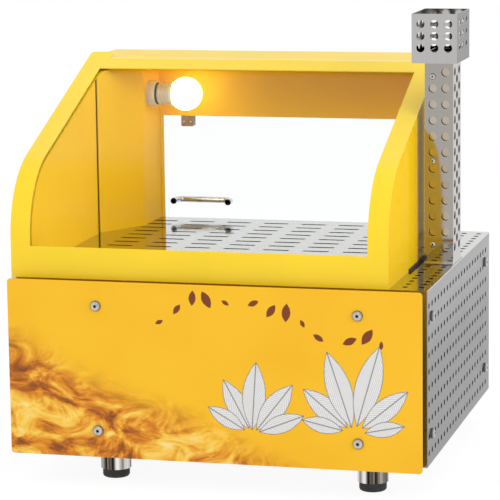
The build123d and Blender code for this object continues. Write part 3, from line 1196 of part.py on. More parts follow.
HOLDER_END = LAMP_FACE_X + LAMP_BASE_L + LAMP_SKIRT_L
with BuildPart() as lamp_holder:
    with BuildSketch(Plane.YZ.offset(LAMP_FACE_X)):
        with Locations((LAMP_Y, LAMP_AXIS_Z)):
            Circle(LAMP_BASE_R)
    extrude(amount=LAMP_BASE_L)
    fillet(lamp_holder.faces().sort_by(Axis.X)[-1].edges(), LAMP_BASE_ROUND)
    with BuildSketch(Plane.YZ.offset(LAMP_FACE_X + LAMP_BASE_L)):
        with Locations((LAMP_Y, LAMP_AXIS_Z)):
            Circle(LAMP_BODY_R)
    with BuildSketch(Plane.YZ.offset(HOLDER_END)):
        with Locations((LAMP_Y, LAMP_AXIS_Z)):
            Circle(LAMP_SKIRT_R)
    loft()
    with BuildSketch(Plane.YZ.offset(HOLDER_END)):
        with Locations((LAMP_Y, LAMP_AXIS_Z)):
            Circle(BULB_CAP_R + RUN_GAP)
    extrude(amount=-LAMP_SOCKET_L, mode=Mode.SUBTRACT)
save(lamp_holder.part, "lamp_holder")

# the bulb's outline, turned about the lamp axis: screw cap, shoulder and round envelope
NECK_X = HOLDER_END + FIT
BULB_X = NECK_X + (BULB_R ** 2 - LAMP_SKIRT_R ** 2) ** 0.5
CAP_START = HOLDER_END - LAMP_SOCKET_L + FIT
with BuildPart() as lamp_bulb:
    with BuildSketch(Plane(origin=(0, LAMP_Y, LAMP_AXIS_Z), x_dir=(1, 0, 0), z_dir=(0, -1, 0))):
        with BuildLine():
            screw_cap = Polyline((BULB_X + BULB_R, 0), (CAP_START, 0), (CAP_START, BULB_CAP_R),
                                 (NECK_X, BULB_CAP_R), (NECK_X, LAMP_SKIRT_R))
            ThreePointArc(screw_cap @ 1, (BULB_X, BULB_R), screw_cap @ 0)
        make_face()
    revolve(axis=Axis((0, LAMP_Y, LAMP_AXIS_Z), (1, 0, 0)), revolution_arc=360)
save(lamp_bulb.part, "lamp_bulb")
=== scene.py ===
from math import cos, pi, radians, sin, tan, tau

import bmesh
import bpy
from mathutils import Matrix, Vector


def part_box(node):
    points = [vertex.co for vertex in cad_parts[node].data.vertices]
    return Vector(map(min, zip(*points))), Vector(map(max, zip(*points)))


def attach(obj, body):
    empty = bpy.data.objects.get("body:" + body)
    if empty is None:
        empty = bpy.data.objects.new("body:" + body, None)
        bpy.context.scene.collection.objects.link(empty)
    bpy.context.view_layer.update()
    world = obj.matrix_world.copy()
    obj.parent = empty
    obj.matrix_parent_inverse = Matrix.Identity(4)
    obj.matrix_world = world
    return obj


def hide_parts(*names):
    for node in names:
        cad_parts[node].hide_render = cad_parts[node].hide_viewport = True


# Finishes and small parts of a counter-top potato oven with a lit display hood.
# Metres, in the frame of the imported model: +Z up, the customer stands on the -Y side.
# In every finish and plan, w is its wiring.

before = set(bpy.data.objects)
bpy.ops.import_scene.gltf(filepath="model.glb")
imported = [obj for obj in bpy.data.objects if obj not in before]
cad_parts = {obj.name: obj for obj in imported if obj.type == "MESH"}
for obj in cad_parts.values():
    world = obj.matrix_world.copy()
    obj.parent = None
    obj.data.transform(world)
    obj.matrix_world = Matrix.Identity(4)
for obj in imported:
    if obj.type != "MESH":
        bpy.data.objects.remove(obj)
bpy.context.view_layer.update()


# ------------ node writing
class Signal:
    """A node's output socket. Sums written with it become nodes in the same tree."""

    def __init__(self, wiring, socket):
        self.wiring, self.socket = wiring, socket

    def also(self, name):
        """Another output of the node that this one comes from."""
        return Signal(self.wiring, self.socket.node.outputs[name])

    def __add__(self, other):
        return self.wiring.math("ADD", self, other)

    def __radd__(self, other):
        return self.wiring.math("ADD", other, self)

    def __sub__(self, other):
        return self.wiring.math("SUBTRACT", self, other)

    def __rsub__(self, other):
        return self.wiring.math("SUBTRACT", other, self)

    def __mul__(self, other):
        return self.wiring.math("MULTIPLY", self, other)

    def __rmul__(self, other):
        return self.wiring.math("MULTIPLY", other, self)

    def __truediv__(self, other):
        return self.wiring.math("DIVIDE", self, other)

    def __abs__(self):
        return self.wiring.math("ABSOLUTE", self)


class Wiring:
    """The nodes of a material, of the world or of a geometry plan."""

    def __init__(self, tree):
        self.tree = tree

    def node(self, kind, settings=None, inputs=None, output=0):
        """A node of this kind, its settings made first, then its inputs set or linked."""
        fresh = self.tree.nodes.new(kind)
        for name, value in (settings or {}).items():
            setattr(fresh, name, value)
        for name, value in (inputs or {}).items():
            socket = fresh.inputs[name]
            if isinstance(value, Signal):
                self.tree.links.new(value.socket, socket)
            elif socket.type == "RGBA" and len(value) == 3:
                socket.default_value = (*value, 1.0)
            else:
                socket.default_value = value
        return Signal(self, fresh.outputs[output]) if len(fresh.outputs) else None

    def math(self, operation, *values):
        """One sum with plain numbers, such as ADD, MODULO or COSINE."""
        return self.node("ShaderNodeMath", {"operation": operation}, dict(enumerate(values)))

    def most(self, first, second):
        return self.math("MAXIMUM", first, second)

    def least(self, first, second):
        return self.math("MINIMUM", first, second)

    def place(self, stretch=(1, 1, 1), shift=(0, 0, 0), turn=(0, 0, 0)):
        """The surface's own place on the object, moved, turned and stretched."""
        spot = self.node("ShaderNodeTexCoord", output="Object")
        return self.node("ShaderNodeMapping", {}, {
            "Vector": spot, "Location": shift, "Rotation": turn, "Scale": stretch})

    def axes(self, spot):
        """The three numbers of a place."""
        apart = self.node("ShaderNodeSeparateXYZ", {}, {0: spot})
        return apart, apart.also("Y"), apart.also("Z")

    def noise(self, spot, scale, detail=2.0, roughness=0.5, distortion=0.0):
        """Soft clouds from 0 to 1, about `scale` of them to each unit of the place."""
        return self.node("ShaderNodeTexNoise", {}, {
            "Vector": spot, "Scale": scale, "Detail": detail, "Roughness": roughness,
            "Distortion": distortion})

    def ease(self, value, low, high, at_low=0.0, at_high=1.0):
        """Runs smoothly from at_low to at_high as value goes from low to high."""
        return self.node("ShaderNodeMapRange", {"interpolation_type": "SMOOTHSTEP"},
                         {0: value, 1: low, 2: high, 3: at_low, 4: at_high})

    def ramp(self, value, *stops):
        """Runs through the colours of the stops, (value, colour) each, as value rises."""
        colours = self.node("ShaderNodeValToRGB", {}, {0: value})
        elements = colours.socket.node.color_ramp.elements
        while len(elements) < len(stops):
            elements.new(1.0)
        for element, (place, colour) in zip(elements, stops):
            element.position, element.color = place, (*colour, 1.0)
        return colours

    def mix(self, share, first, second):
        """Runs from the first colour to the second as share goes from 0 to 1."""
        return self.node("ShaderNodeMix", {"data_type": "RGBA"}, {0: share, 6: first, 7: second},
                         output=2)

    def bump(self, height, strength, depth):
        return self.node("ShaderNodeBump", {}, {
            "Height": height, "Strength": strength, "Distance": depth})


def point(w, across, up, out):
    return w.node("ShaderNodeCombineXYZ", {}, {0: across, 1: up, 2: out})


finishes = {}


def finish(name):
    """Keeps what the function below wires up as the material of this name."""
    def keep(wire_up):
        material = bpy.data.materials.new(name)
        material.use_nodes = True
        material.node_tree.nodes.clear()
        wiring = Wiring(material.node_tree)
        wiring.node("ShaderNodeOutputMaterial", {}, {"Surface": wire_up(wiring)})
        finishes[name] = material
        return wire_up
    return keep


def surface(w, **inputs):
    """The metal, paint, rubber or plastic shader, with its sockets named by keyword."""
    return w.node("ShaderNodeBsdfPrincipled", {},
                  {name.replace("_", " "): value for name, value in inputs.items()})


# ------------ painted sheet
YELLOW = (0.985, 0.690, 0.020)
# a paler copy of the hood's yellow for its flat top: painted sheen
TOP_YELLOW_PAINTED_SHEEN = (0.97, 0.69, 0.060)
# a deeper, darker copy of the hood's yellow for its right side: painted shade
SIDE_YELLOW_PAINTED_SHADE = (0.99, 0.62, 0.012)
LINING_YELLOW = (0.97, 0.58, 0.014)
HANDLED = (0.9, 0.86, 0.7)      # paler marks where hands have been


def sprayed(w, colour, gloss, coat=0.0, sheen=0.3):
    """Baked enamel on sheet steel: faint orange peel, drifting tone, a few handling marks."""
    spot = w.place()
    tone = w.noise(spot, 6.0, detail=3.0)
    skin = w.noise(spot, 900.0)
    marks = w.ease(w.noise(w.place((9, 9, 60)), 9.0, detail=5.0, roughness=0.7), 0.60, 0.78)
    shade = w.mix(w.ease(tone, 0.3, 0.7), colour, tuple(c * 0.955 for c in colour))
    return surface(w, Base_Color=w.mix(marks * 0.05, shade, HANDLED),
                   Roughness=gloss + 0.06 * tone + 0.07 * marks, Coat_Weight=coat,
                   Specular_IOR_Level=sheen, Coat_Roughness=0.03, Normal=w.bump(skin, 0.05, 0.0004))


@finish("hood_enamel")
def hood_enamel(w):
    return sprayed(w, YELLOW, 0.22, coat=0.10)


@finish("hood_top_enamel")
def hood_top_enamel(w):
    # Paler than the hood's yellow: painted sheen on the flat top.
    return sprayed(w, TOP_YELLOW_PAINTED_SHEEN, 0.36, sheen=0.16)


@finish("hood_side_enamel")
def hood_side_enamel(w):
    """The hood's right side, polished so that it faintly mirrors the flue guard beside it; its yellow is
    a deeper copy of the hood's, as painted shade.
    """
    paint = sprayed(w, SIDE_YELLOW_PAINTED_SHADE, 0.40, sheen=0.0)
    mirror = surface(w, Base_Color=(0.95, 0.80, 0.45), Metallic=1.0, Roughness=0.05)
    mirrored = 0.11
    return w.node("ShaderNodeMixShader", {}, {0: mirrored, 1: paint, 2: mirror})


@finish("lining_enamel")
def lining_enamel(w):
    return sprayed(w, LINING_YELLOW, 0.50, sheen=0.05)


# ------------ printed plate
PLATE_LOW, PLATE_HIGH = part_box("front_plate")
FROM_CORNER = (-PLATE_LOW.x, 0, -PLATE_LOW.z)       # places are counted from its lower left corner
AMBER = (0.900, 0.475, 0.010)
PALE_AMBER = (0.93, 0.520, 0.014)
EMBERS = (   # from the darkest to the brightest
    (0.30, (0.050, 0.014, 0.006)), (0.41, (0.34, 0.07, 0.008)), (0.50, (0.72, 0.24, 0.012)),
    (0.60, (0.93, 0.58, 0.07)), (0.74, (0.96, 0.80, 0.38)))
PENCIL, PALE_PENCIL = (0.60, 0.60, 0.61), (0.83, 0.83, 0.82)
MIDRIB, OUTLINE = (0.17, 0.17, 0.18), (0.13, 0.13, 0.14)
SEED_BROWN = (0.19, 0.045, 0.012)
LEAVES = [   # root across and up on the plate, direction in degrees, length, half breadth
    (0.352, 0.052, 118, 0.078, 0.0150), (0.356, 0.050, 86, 0.098, 0.0170),
    (0.362, 0.050, 52, 0.086, 0.0160), (0.366, 0.048, 22, 0.070, 0.0130),
    (0.346, 0.050, 150, 0.062, 0.0120),
    (0.492, 0.060, 140, 0.082, 0.0155), (0.498, 0.060, 108, 0.112, 0.0180),
    (0.505, 0.062, 74, 0.120, 0.0185), (0.512, 0.060, 40, 0.086, 0.0150),
    (0.486, 0.056, 168, 0.060, 0.0115), (0.516, 0.054, 12, 0.058, 0.0110),
]
SEEDS = [    # across and up on the plate, half breadth
    (0.218 + 0.0268 * k, 0.196 + 0.026 * sin(0.42 * k) + 0.004 * (k % 3), 0.0030 + 0.0011 * (k % 4))
    for k in range(13)]


def leaf(across, up, root, turn, length, breadth):
    """Distance inside a printed leaf's outline, then the place along and beside its midrib."""
    along = ((across - root[0]) * cos(turn) + (up - root[1]) * sin(turn)) / length
    aside = (up - root[1]) * cos(turn) - (across - root[0]) * sin(turn)
    belly = 4.0 * along * (1.0 - along)
    return belly * breadth - abs(aside), along, aside


def with_embers(w, spot, across, up, colour):
    """Embers drift up from the lower left edge and thin out along the bottom."""
    swell = w.noise(spot, 9.0, detail=3.0, roughness=0.55, distortion=0.4)
    crest = 0.150 - 0.42 * across + 0.075 * swell
    glow = w.ease(crest - up, -0.012, 0.055)
    slanted = w.place((1, 1, 1.7), FROM_CORNER, (0, 0.5, 0))
    stir = w.noise(slanted, 15.0, detail=6.0, roughness=0.62, distortion=1.3)
    return w.mix(glow * 0.94, colour, w.ramp(stir, *EMBERS))


def with_leaves(w, across, up, grain, colour):
    """Leaves in pencil grey, hatched beside the midrib."""
    for x, z, turn, length, breadth in LEAVES:
        inside, along, aside = leaf(across, up, (x, z), radians(turn), length, breadth)
        inside = inside + 0.0016 * (grain - 0.5)
        hatch = w.math("SINE", (along * length * 0.9 + abs(aside) * 1.3) * 1500.0)
        tint = w.mix(w.ease(hatch * 0.5 + grain * 0.9, 0.25, 0.75), PENCIL, PALE_PENCIL)
        tint = w.mix(w.ease(abs(aside), 0.0004, 0.0012, at_low=0.85, at_high=0.0), tint, MIDRIB)
        tint = w.mix(w.ease(inside, 0.0004, 0.0016, at_low=0.9, at_high=0.0), tint, OUTLINE)
        colour = w.mix(w.ease(inside, -0.0003, 0.0003), colour, tint)
    return colour


def with_seeds(w, across, up, grain, colour):
    """Seeds in dark brown, each a short brushed drop."""
    for k, (x, z, size) in enumerate(SEEDS):
        inside, *_ = leaf(across, up, (x, z), radians(24 + 31 * (k % 5)), size * 4.2, size)
        colour = w.mix(w.ease(inside + 0.0012 * (grain - 0.5), -0.0002, 0.0004), colour, SEED_BROWN)
    return colour


@finish("printed_plate_enamel")
def printed_plate_enamel(w):
    """Amber enamel with a print: a drift of embers, two leaf sprigs and a line of brown seeds."""
    spot = w.place(shift=FROM_CORNER)
    across, _, up = w.axes(spot)
    tone = w.noise(spot, 5.0, detail=3.0)
    grain = w.noise(w.place(), 260.0, detail=3.0, roughness=0.6)
    colour = w.mix(w.ease(tone, 0.3, 0.72), AMBER, PALE_AMBER)
    colour = with_embers(w, spot, across, up, colour)
    colour = with_leaves(w, across, up, grain, colour)
    colour = with_seeds(w, across, up, grain, colour)
    skin = w.noise(w.place(), 900.0)
    return surface(w, Base_Color=colour, Roughness=0.36 + 0.05 * tone, Specular_IOR_Level=0.3,
                   Normal=w.bump(skin, 0.08, 0.0004))


# ------------ metals
# grain of the rolling lines along each axis, coarse the way they run
LINES_ALONG_X, LINES_ALONG_Y, LINES_ALONG_Z = (9, 700, 700), (700, 9, 700), (700, 700, 9)


def rolled(w, colour, shine, stretch, streak=0.10, darkening=0.0, edge=1.0):
    """Sheet steel with fine rolling lines along the axis that `stretch` keeps long."""
    lines = w.noise(w.place(stretch), 1.0, detail=3.0, roughness=0.6)
    fine = w.noise(w.place(tuple(3.0 * s for s in stretch)), 1.0)
    cloud = w.noise(w.place(), 7.0, detail=4.0, roughness=0.6)
    smear = w.noise(w.place((14, 14, 5)), 1.0, detail=4.0, roughness=0.65, distortion=0.8)
    smear = w.ease(smear, 0.52, 0.72)
    tint = w.mix(w.ease(lines, 0.3, 0.7), colour, tuple(c * (1 - streak) for c in colour))
    tint = w.mix(w.ease(cloud, 0.35, 0.7, at_high=0.10), tint, tuple(c * 0.72 for c in colour))
    # The colour darkens to about a third of itself as darkening rises; the side sheets feed it painted
    # shade.
    tint = w.mix(darkening, tint, tuple(c * 0.35 for c in colour))
    return surface(w, Base_Color=tint, Metallic=1.0, Specular_Tint=(edge, edge, edge),
                   Roughness=shine + 0.05 * lines + 0.06 * smear + 0.03 * fine,
                   Normal=w.bump(lines * 0.7 + fine * 0.3, 0.04, 0.0002))


BODY_LOW, BODY_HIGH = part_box("right_side_panel")
BODY_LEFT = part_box("left_side_panel")[0].x


@finish("side_sheet_steel")
def side_sheet_steel(w):
    """Brushed side sheets, with painted shade: darker from half way down, fading out towards the deck."""
    *_, up = w.axes(w.place())
    half_way = 0.5 * (BODY_LOW.z + BODY_HIGH.z)
    # Painted shade: the sheets darken from half way down, fading out towards the deck.
    painted_shade_low = w.ease(up, half_way, BODY_HIGH.z, at_low=0.62, at_high=0.0)
    return rolled(w, (0.48, 0.475, 0.48), 0.14, LINES_ALONG_Y, darkening=painted_shade_low, edge=0.70)


@finish("deck_sheet_steel")
def deck_sheet_steel(w):
    return rolled(w, (0.56, 0.55, 0.535), 0.04, LINES_ALONG_X)


@finish("flue_sheet_steel")
def flue_sheet_steel(w):
    return rolled(w, (0.38, 0.355, 0.33), 0.02, LINES_ALONG_Z, streak=0.06)


@finish("cap_sheet_steel")
def cap_sheet_steel(w):
    return rolled(w, (0.50, 0.49, 0.48), 0.03, LINES_ALONG_Z, streak=0.06, edge=0.55)


@finish("pipe_sheet_steel")
def pipe_sheet_steel(w):
    """The flue pipe inside its guard: bright sheet with a straw tint where the heat has been."""
    tinge = w.noise(w.place((1, 1, 0.6)), 14.0, detail=4.0, roughness=0.6)
    lines = w.noise(w.place(LINES_ALONG_Z), 1.0, detail=3.0)
    tint = w.ramp(tinge, (0.35, (0.50, 0.45, 0.38)), (0.62, (0.42, 0.34, 0.24)),
                  (0.78, (0.30, 0.24, 0.18)))
    return surface(w, Base_Color=tint, Metallic=1.0, Roughness=0.02 + 0.03 * lines,
                   Normal=w.bump(lines, 0.02, 0.0002))


@finish("drawer_sheet_steel")
def drawer_sheet_steel(w):
    return rolled(w, (0.62, 0.62, 0.625), 0.22, LINES_ALONG_X, streak=0.14)


@finish("heat_tinted_steel")
def heat_tinted_steel(w):
    """Inner sheets straw- and blue-tinted by the burners, with a little baked-on film."""
    tinge = w.noise(w.place(), 5.0, detail=4.0, roughness=0.6, distortion=0.6)
    darkening = w.ease(w.noise(w.place(), 22.0, detail=6.0, roughness=0.7), 0.50, 0.72)
    lines = w.noise(w.place(LINES_ALONG_Y), 1.0, detail=3.0)
    tint = w.ramp(tinge, (0.30, (0.56, 0.555, 0.55)), (0.52, (0.55, 0.48, 0.33)),
                  (0.66, (0.44, 0.31, 0.20)), (0.80, (0.30, 0.31, 0.40)))
    return surface(w, Base_Color=w.mix(darkening * 0.55, tint, (0.10, 0.07, 0.045)), Metallic=0.9,
                   Roughness=0.28 + 0.30 * darkening + 0.08 * lines,
                   Normal=w.bump(darkening * 0.6 + lines * 0.2, 0.15, 0.0003))


@finish("galvanised_steel")
def galvanised_steel(w):
    """Zinc coat with its crystal spangle."""
    flake = w.node("ShaderNodeTexVoronoi", {"feature": "F1"},
                   {"Vector": w.place(), "Scale": 95.0}, output="Color")
    cell = w.node("ShaderNodeSeparateColor", {}, {0: flake})
    bloom = w.noise(w.place(), 12.0, detail=5.0, roughness=0.65)
    tint = w.mix(cell, (0.40, 0.41, 0.42), (0.56, 0.57, 0.58))
    tint = w.mix(w.ease(bloom, 0.5, 0.75, at_high=0.5), tint, (0.62, 0.62, 0.60))
    return surface(w, Base_Color=tint, Metallic=0.92, Roughness=0.34 + 0.20 * cell + 0.12 * bloom,
                   Normal=w.bump(cell * 0.6 + bloom * 0.4, 0.12, 0.0003))


@finish("polished_steel")
def polished_steel(w):
    haze = w.noise(w.place(), 60.0, detail=5.0, roughness=0.65)
    turned = w.noise(w.place((900, 900, 900)), 1.0)
    return surface(w, Base_Color=w.mix(w.ease(haze, 0.4, 0.75), (0.66, 0.66, 0.665), (0.54, 0.535, 0.53)),
                   Metallic=1.0, Roughness=0.08 + 0.12 * haze,
                   Normal=w.bump(turned, 0.03, 0.0002))


CUP_RADIUS = 0.022


@finish("polished_cup_steel")
def polished_cup_steel(w):
    """Drawn and polished cups of the feet, with soft upright dark and bright bands of painted reflection
    round them.
    """
    spot = w.place()
    across, deep, _ = w.axes(spot)
    low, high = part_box("foot_cups")
    centre = 0.5 * (high + low)
    aside = abs(across - centre.x) - (0.5 * (high.x - low.x) - CUP_RADIUS)
    ahead = abs(deep - centre.y) - (0.5 * (high.y - low.y) - CUP_RADIUS)
    turn = w.math("ARCTAN2", aside, ahead)
    painted_reflection_bands = w.noise(point(w, turn * 1.9, 0.4, 0.0), 1.0, detail=3.0, roughness=0.55)
    haze = w.noise(spot, 60.0, detail=5.0, roughness=0.65)
    # Painted reflection: the cup's colour runs from near black to pale by its angle round the foot.
    tint = w.ramp(painted_reflection_bands, (0.40, (0.012, 0.011, 0.010)), (0.46, (0.12, 0.10, 0.085)),
                  (0.54, (0.34, 0.29, 0.25)), (0.62, (0.82, 0.81, 0.80)))
    return surface(w, Base_Color=tint, Metallic=1.0, Roughness=0.07 + 0.10 * haze,
                   Normal=w.bump(haze, 0.02, 0.0002))


@finish("screw_steel")
def screw_steel(w):
    """Stainless screw heads: bright on top of the dome, with painted shade darkening it towards the rim.
    """
    haze = w.noise(w.place(), 240.0, detail=4.0, roughness=0.6)
    row = w.node("ShaderNodeAttribute", {"attribute_name": "row"}, output="Fac")
    tint = w.mix(w.ease(haze, 0.4, 0.7), (0.58, 0.56, 0.54), (0.40, 0.38, 0.36))
    # Painted shade on the outer rows of the dome, towards its rim.
    tint = w.mix(w.ease(row, 3.5, 7.0), tint, (0.13, 0.115, 0.11))
    return surface(w, Base_Color=tint, Metallic=1.0, Roughness=0.10 + 0.14 * haze,
                   Normal=w.bump(haze, 0.03, 0.0002))


@finish("drive_shade")
def drive_shade(w):
    """Painted shade: the dark inside of a screw head's socket."""
    mottle = w.noise(w.place(), 400.0, detail=3.0)
    return surface(w, Base_Color=w.mix(mottle, (0.018, 0.016, 0.014), (0.06, 0.055, 0.05)), Metallic=0.6,
                   Roughness=0.45 + 0.2 * mottle, Normal=w.bump(mottle, 0.1, 0.0002))


@finish("turned_brass")
def turned_brass(w):
    rings = w.noise(w.place((60, 900, 60)), 1.0)
    tarnish = w.ease(w.noise(w.place(), 45.0, detail=6.0, roughness=0.7), 0.42, 0.68)
    return surface(w, Base_Color=w.mix(tarnish, (0.74, 0.53, 0.21), (0.40, 0.25, 0.09)), Metallic=1.0,
                   Roughness=0.20 + 0.12 * rings + 0.20 * tarnish,
                   Normal=w.bump(rings, 0.12, 0.0002))


# ------------ rubber, plastic, wool, glaze
def moulded(w, colour, roughness, grain, worn):
    """Moulded plastic, print, fibre or rubber, rubbed a little paler where it is handled."""
    pits = w.noise(w.place(), grain)
    rub = w.ease(w.noise(w.place(), 38.0, detail=6.0, roughness=0.7), 0.50, 0.80)
    return surface(w, Base_Color=w.mix(rub * 0.35, colour, worn),
                   Roughness=roughness + 0.12 * pits - 0.10 * rub,
                   Normal=w.bump(pits, 0.18, 0.0002))


MOULDED = {   # colour, roughness, how fine its texture is, colour where it is rubbed
    "foot_rubber": ((0.022, 0.022, 0.022), 0.62, 900.0, (0.16, 0.16, 0.16)),
    "seal_rubber": ((0.025, 0.025, 0.026), 0.52, 1400.0, (0.09, 0.09, 0.09)),
    "silicone_seal": ((0.42, 0.20, 0.018), 0.45, 700.0, (0.60, 0.36, 0.06)),    # amber bead
    "black_moulding": ((0.020, 0.020, 0.021), 0.34, 1600.0, (0.16, 0.16, 0.16)),
    "catch_moulding": ((0.27, 0.19, 0.12), 0.36, 1600.0, (0.50, 0.42, 0.34)),
    "white_print": ((0.80, 0.80, 0.78), 0.45, 900.0, (0.60, 0.60, 0.58)),
    "black_print": ((0.018, 0.018, 0.018), 0.45, 900.0, (0.08, 0.08, 0.08)),
    "gasket_fibre": ((0.085, 0.065, 0.030), 0.70, 700.0, (0.18, 0.15, 0.08)),
    "red_moulding": ((0.60, 0.030, 0.018), 0.22, 1500.0, (0.75, 0.20, 0.15)),
}
for name, look in MOULDED.items():
    finish(name)(lambda w: moulded(w, *look))


@finish("mineral_wool")
def mineral_wool(w):
    """Pressed wool: matted fibres in two directions, with darker binder spots."""
    fibres = (((260, 30, 900), (0.2, 0.3, 0.4)), ((30, 300, 800), (0.5, 0.1, 0.9)))    # stretch, turn
    mat = w.most(*(w.noise(w.place(stretch, turn=turn), 1.0, detail=4.0, roughness=0.7, distortion=0.6)
                   for stretch, turn in fibres))
    binder = w.ease(w.noise(w.place(), 55.0, detail=4.0, roughness=0.6), 0.55, 0.75)
    tint = w.ramp(mat, (0.38, (0.30, 0.24, 0.10)), (0.60, (0.64, 0.55, 0.29)),
                  (0.80, (0.86, 0.80, 0.54)))
    return surface(w, Base_Color=w.mix(binder * 0.5, tint, (0.36, 0.26, 0.10)), Roughness=0.96,
                   Normal=w.bump(mat, 0.9, 0.0015))


@finish("lamp_glaze")
def lamp_glaze(w):
    """White glazed ceramic with faint speckle and pooled glaze."""
    pool = w.noise(w.place(), 30.0, detail=3.0)
    speck = w.ease(w.noise(w.place(), 420.0), 0.66, 0.74)
    tint = w.mix(w.ease(pool, 0.3, 0.7), (0.80, 0.79, 0.755), (0.72, 0.70, 0.66))
    return surface(w, Base_Color=w.mix(speck * 0.4, tint, (0.42, 0.37, 0.30)),
                   Roughness=0.16 + 0.08 * pool, Coat_Weight=0.4, Coat_Roughness=0.05,
                   Normal=w.bump(pool, 0.15, 0.0006))


@finish("dial_enamel")
def dial_enamel(w):
    pool = w.noise(w.place(), 120.0, detail=3.0)
    return surface(w, Base_Color=w.mix(w.ease(pool, 0.35, 0.7), (0.86, 0.86, 0.83), (0.79, 0.78, 0.74)),
                   Roughness=0.32 + 0.08 * pool, Normal=w.bump(pool, 0.04, 0.0002))


# ------------ glass
CLEAR = (0.985, 0.995, 0.99)
EDGE_GREEN = (0.16, 0.36, 0.30)
GROUND_EDGE = 0.0012            # the pane's ground and bevelled border


def clear(w, tint, roughness):
    """Clear glass that lets the studio light through to what stands behind it."""
    pane = surface(w, Base_Color=tint, Roughness=roughness, IOR=1.10, Transmission_Weight=1.0)
    rays = w.node("ShaderNodeLightPath", output="Is Shadow Ray")
    through = w.node("ShaderNodeBsdfTransparent", {}, {"Color": CLEAR})
    return w.node("ShaderNodeMixShader", {}, {0: rays, 1: pane, 2: through})


def smears(w):
    """How rough faint smears make the glass."""
    wiped = w.noise(w.place((5, 5, 9)), 1.0, detail=4.0, roughness=0.6)
    return w.ease(wiped, 0.45, 0.75, at_high=0.02)


@finish("window_glass")
def window_glass(w):
    return clear(w, CLEAR, smears(w))


@finish("door_glass")
def door_glass(w):
    """The hung pane, whose ground edges show as a green line all round."""
    low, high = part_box("rear_door_glass")
    across, _, up = w.axes(w.place())
    inside = w.least(w.least(across - low.x, high.x - across), w.least(up - low.z, high.z - up))
    border = w.ease(inside, 0.5 * GROUND_EDGE, GROUND_EDGE, at_low=1.0, at_high=0.0)
    return clear(w, w.mix(border, CLEAR, EDGE_GREEN), w.most(smears(w), 0.45 * border))


BULB_GLOW = 4.6
BULB_NECK, BULB_CROWN = 0.012, 0.020        # reach of its warmest and of its palest light


@finish("glowing_bulb")
def glowing_bulb(w):
    """Frosted bulb, alight, its light warmer towards the neck."""
    across, *_ = w.axes(w.place())
    low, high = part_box("lamp_bulb")
    frost = w.noise(w.place(), 300.0)
    warm = w.ease(across, low.x + BULB_NECK, high.x - BULB_CROWN)
    glow = w.mix(warm, (1.0, 0.84, 0.34), (1.0, 0.90, 0.50))
    return surface(w, Base_Color=(0.92, 0.90, 0.84), Roughness=0.22 + 0.08 * frost,
                   Emission_Color=glow, Emission_Strength=BULB_GLOW,
                   Normal=w.bump(frost, 0.1, 0.0002))


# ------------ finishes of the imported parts
WORN_BY = {
    "hood_enamel": ["hood_front_frame", "hood_left_side"],
    "hood_side_enamel": ["hood_right_side"],
    "hood_top_enamel": ["hood_top_panel"],
    "lining_enamel": ["hood_linings", "hood_rear_frame"],
    "printed_plate_enamel": ["front_plate"],
    "side_sheet_steel": ["left_side_panel", "right_side_panel", "body_front_panel"],
    "deck_sheet_steel": ["deck_plate", "display_floor", "rear_panel"],
    "flue_sheet_steel": ["flue_guard"],
    "cap_sheet_steel": ["flue_cap"],
    "pipe_sheet_steel": ["flue_duct"],
    "polished_cup_steel": ["foot_cups"],
    "drawer_sheet_steel": ["upper_drawer_front", "lower_drawer_front"],
    "heat_tinted_steel": ["chamber_liner", "upper_drawer_pan", "lower_drawer_pan", "burner_tubes",
                          "drawer_runners"],
    "galvanised_steel": ["base_pan", "inner_frame", "gas_manifold"],
    "polished_steel": ["panel_screws", "flue_guard_screws", "front_plate_spacers",
                       "upper_drawer_handle", "lower_drawer_handle", "rear_door_handle",
                       "door_hinge_brackets", "rear_door_fittings", "valve_spindle",
                       "gauge_housing"],
    "turned_brass": ["gas_valve", "gas_inlet"],
    "foot_rubber": ["front_left_foot_insert", "front_right_foot_insert",
                    "rear_left_foot_insert", "rear_right_foot_insert"],
    "silicone_seal": ["hood_glass_seal"],
    "seal_rubber": ["hood_side_trim"],
    "black_moulding": ["gas_knob", "igniter_housing", "lamp_switch_housing", "cable_gland",
                       "gauge_needle"],
    "catch_moulding": ["door_catch"],
    "red_moulding": ["igniter_button", "lamp_switch_rocker"],
    "mineral_wool": ["chamber_insulation"],
    "lamp_glaze": ["lamp_holder"],
    "glowing_bulb": ["lamp_bulb"],
    "window_glass": ["hood_glass", "gauge_lens"],
    "door_glass": ["rear_door_glass"],
}
for name, wearers in WORN_BY.items():
    for wearer in wearers:
        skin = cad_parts[wearer].data
        skin.materials.clear()
        skin.materials.append(finishes[name])


# ------------ plans for what repeats
def plan(name, *sizes):
    """An empty geometry plan with these named sizes. Gives its wiring, its seeds and its sizes."""
    tree = bpy.data.node_groups.new(name, "GeometryNodeTree")
    tree.interface.new_socket("Seeds", in_out="INPUT", socket_type="NodeSocketGeometry")
    for size in sizes:
        kind = "NodeSocketInt" if size == "Count" else "NodeSocketFloat"
        tree.interface.new_socket(size, in_out="INPUT", socket_type=kind)
    tree.interface.new_socket("Made", in_out="OUTPUT", socket_type="NodeSocketGeometry")
    w = Wiring(tree)
    seeds = w.node("NodeGroupInput")
    return w, seeds, [seeds.also(size) for size in sizes]


def between(w, value, low, high):
    """Runs straight from 0 to 1 as value goes from low to high, and stays there."""
    return w.node("ShaderNodeMapRange", {}, {0: value, 1: low, 2: high})


def rounded_shading(w, shape, crease=0.55):
    """Smooth faces that stay crisp along every edge sharper than `crease`."""
    smooth = w.node("GeometryNodeSetShadeSmooth", {}, {0: shape, 2: True})
    bend = w.node("GeometryNodeInputMeshEdgeAngle")
    sharp = w.math("GREATER_THAN", bend, crease)
    return w.node("GeometryNodeSetShadeSmooth", {"domain": "EDGE"}, {0: smooth, 1: sharp, 2: False})


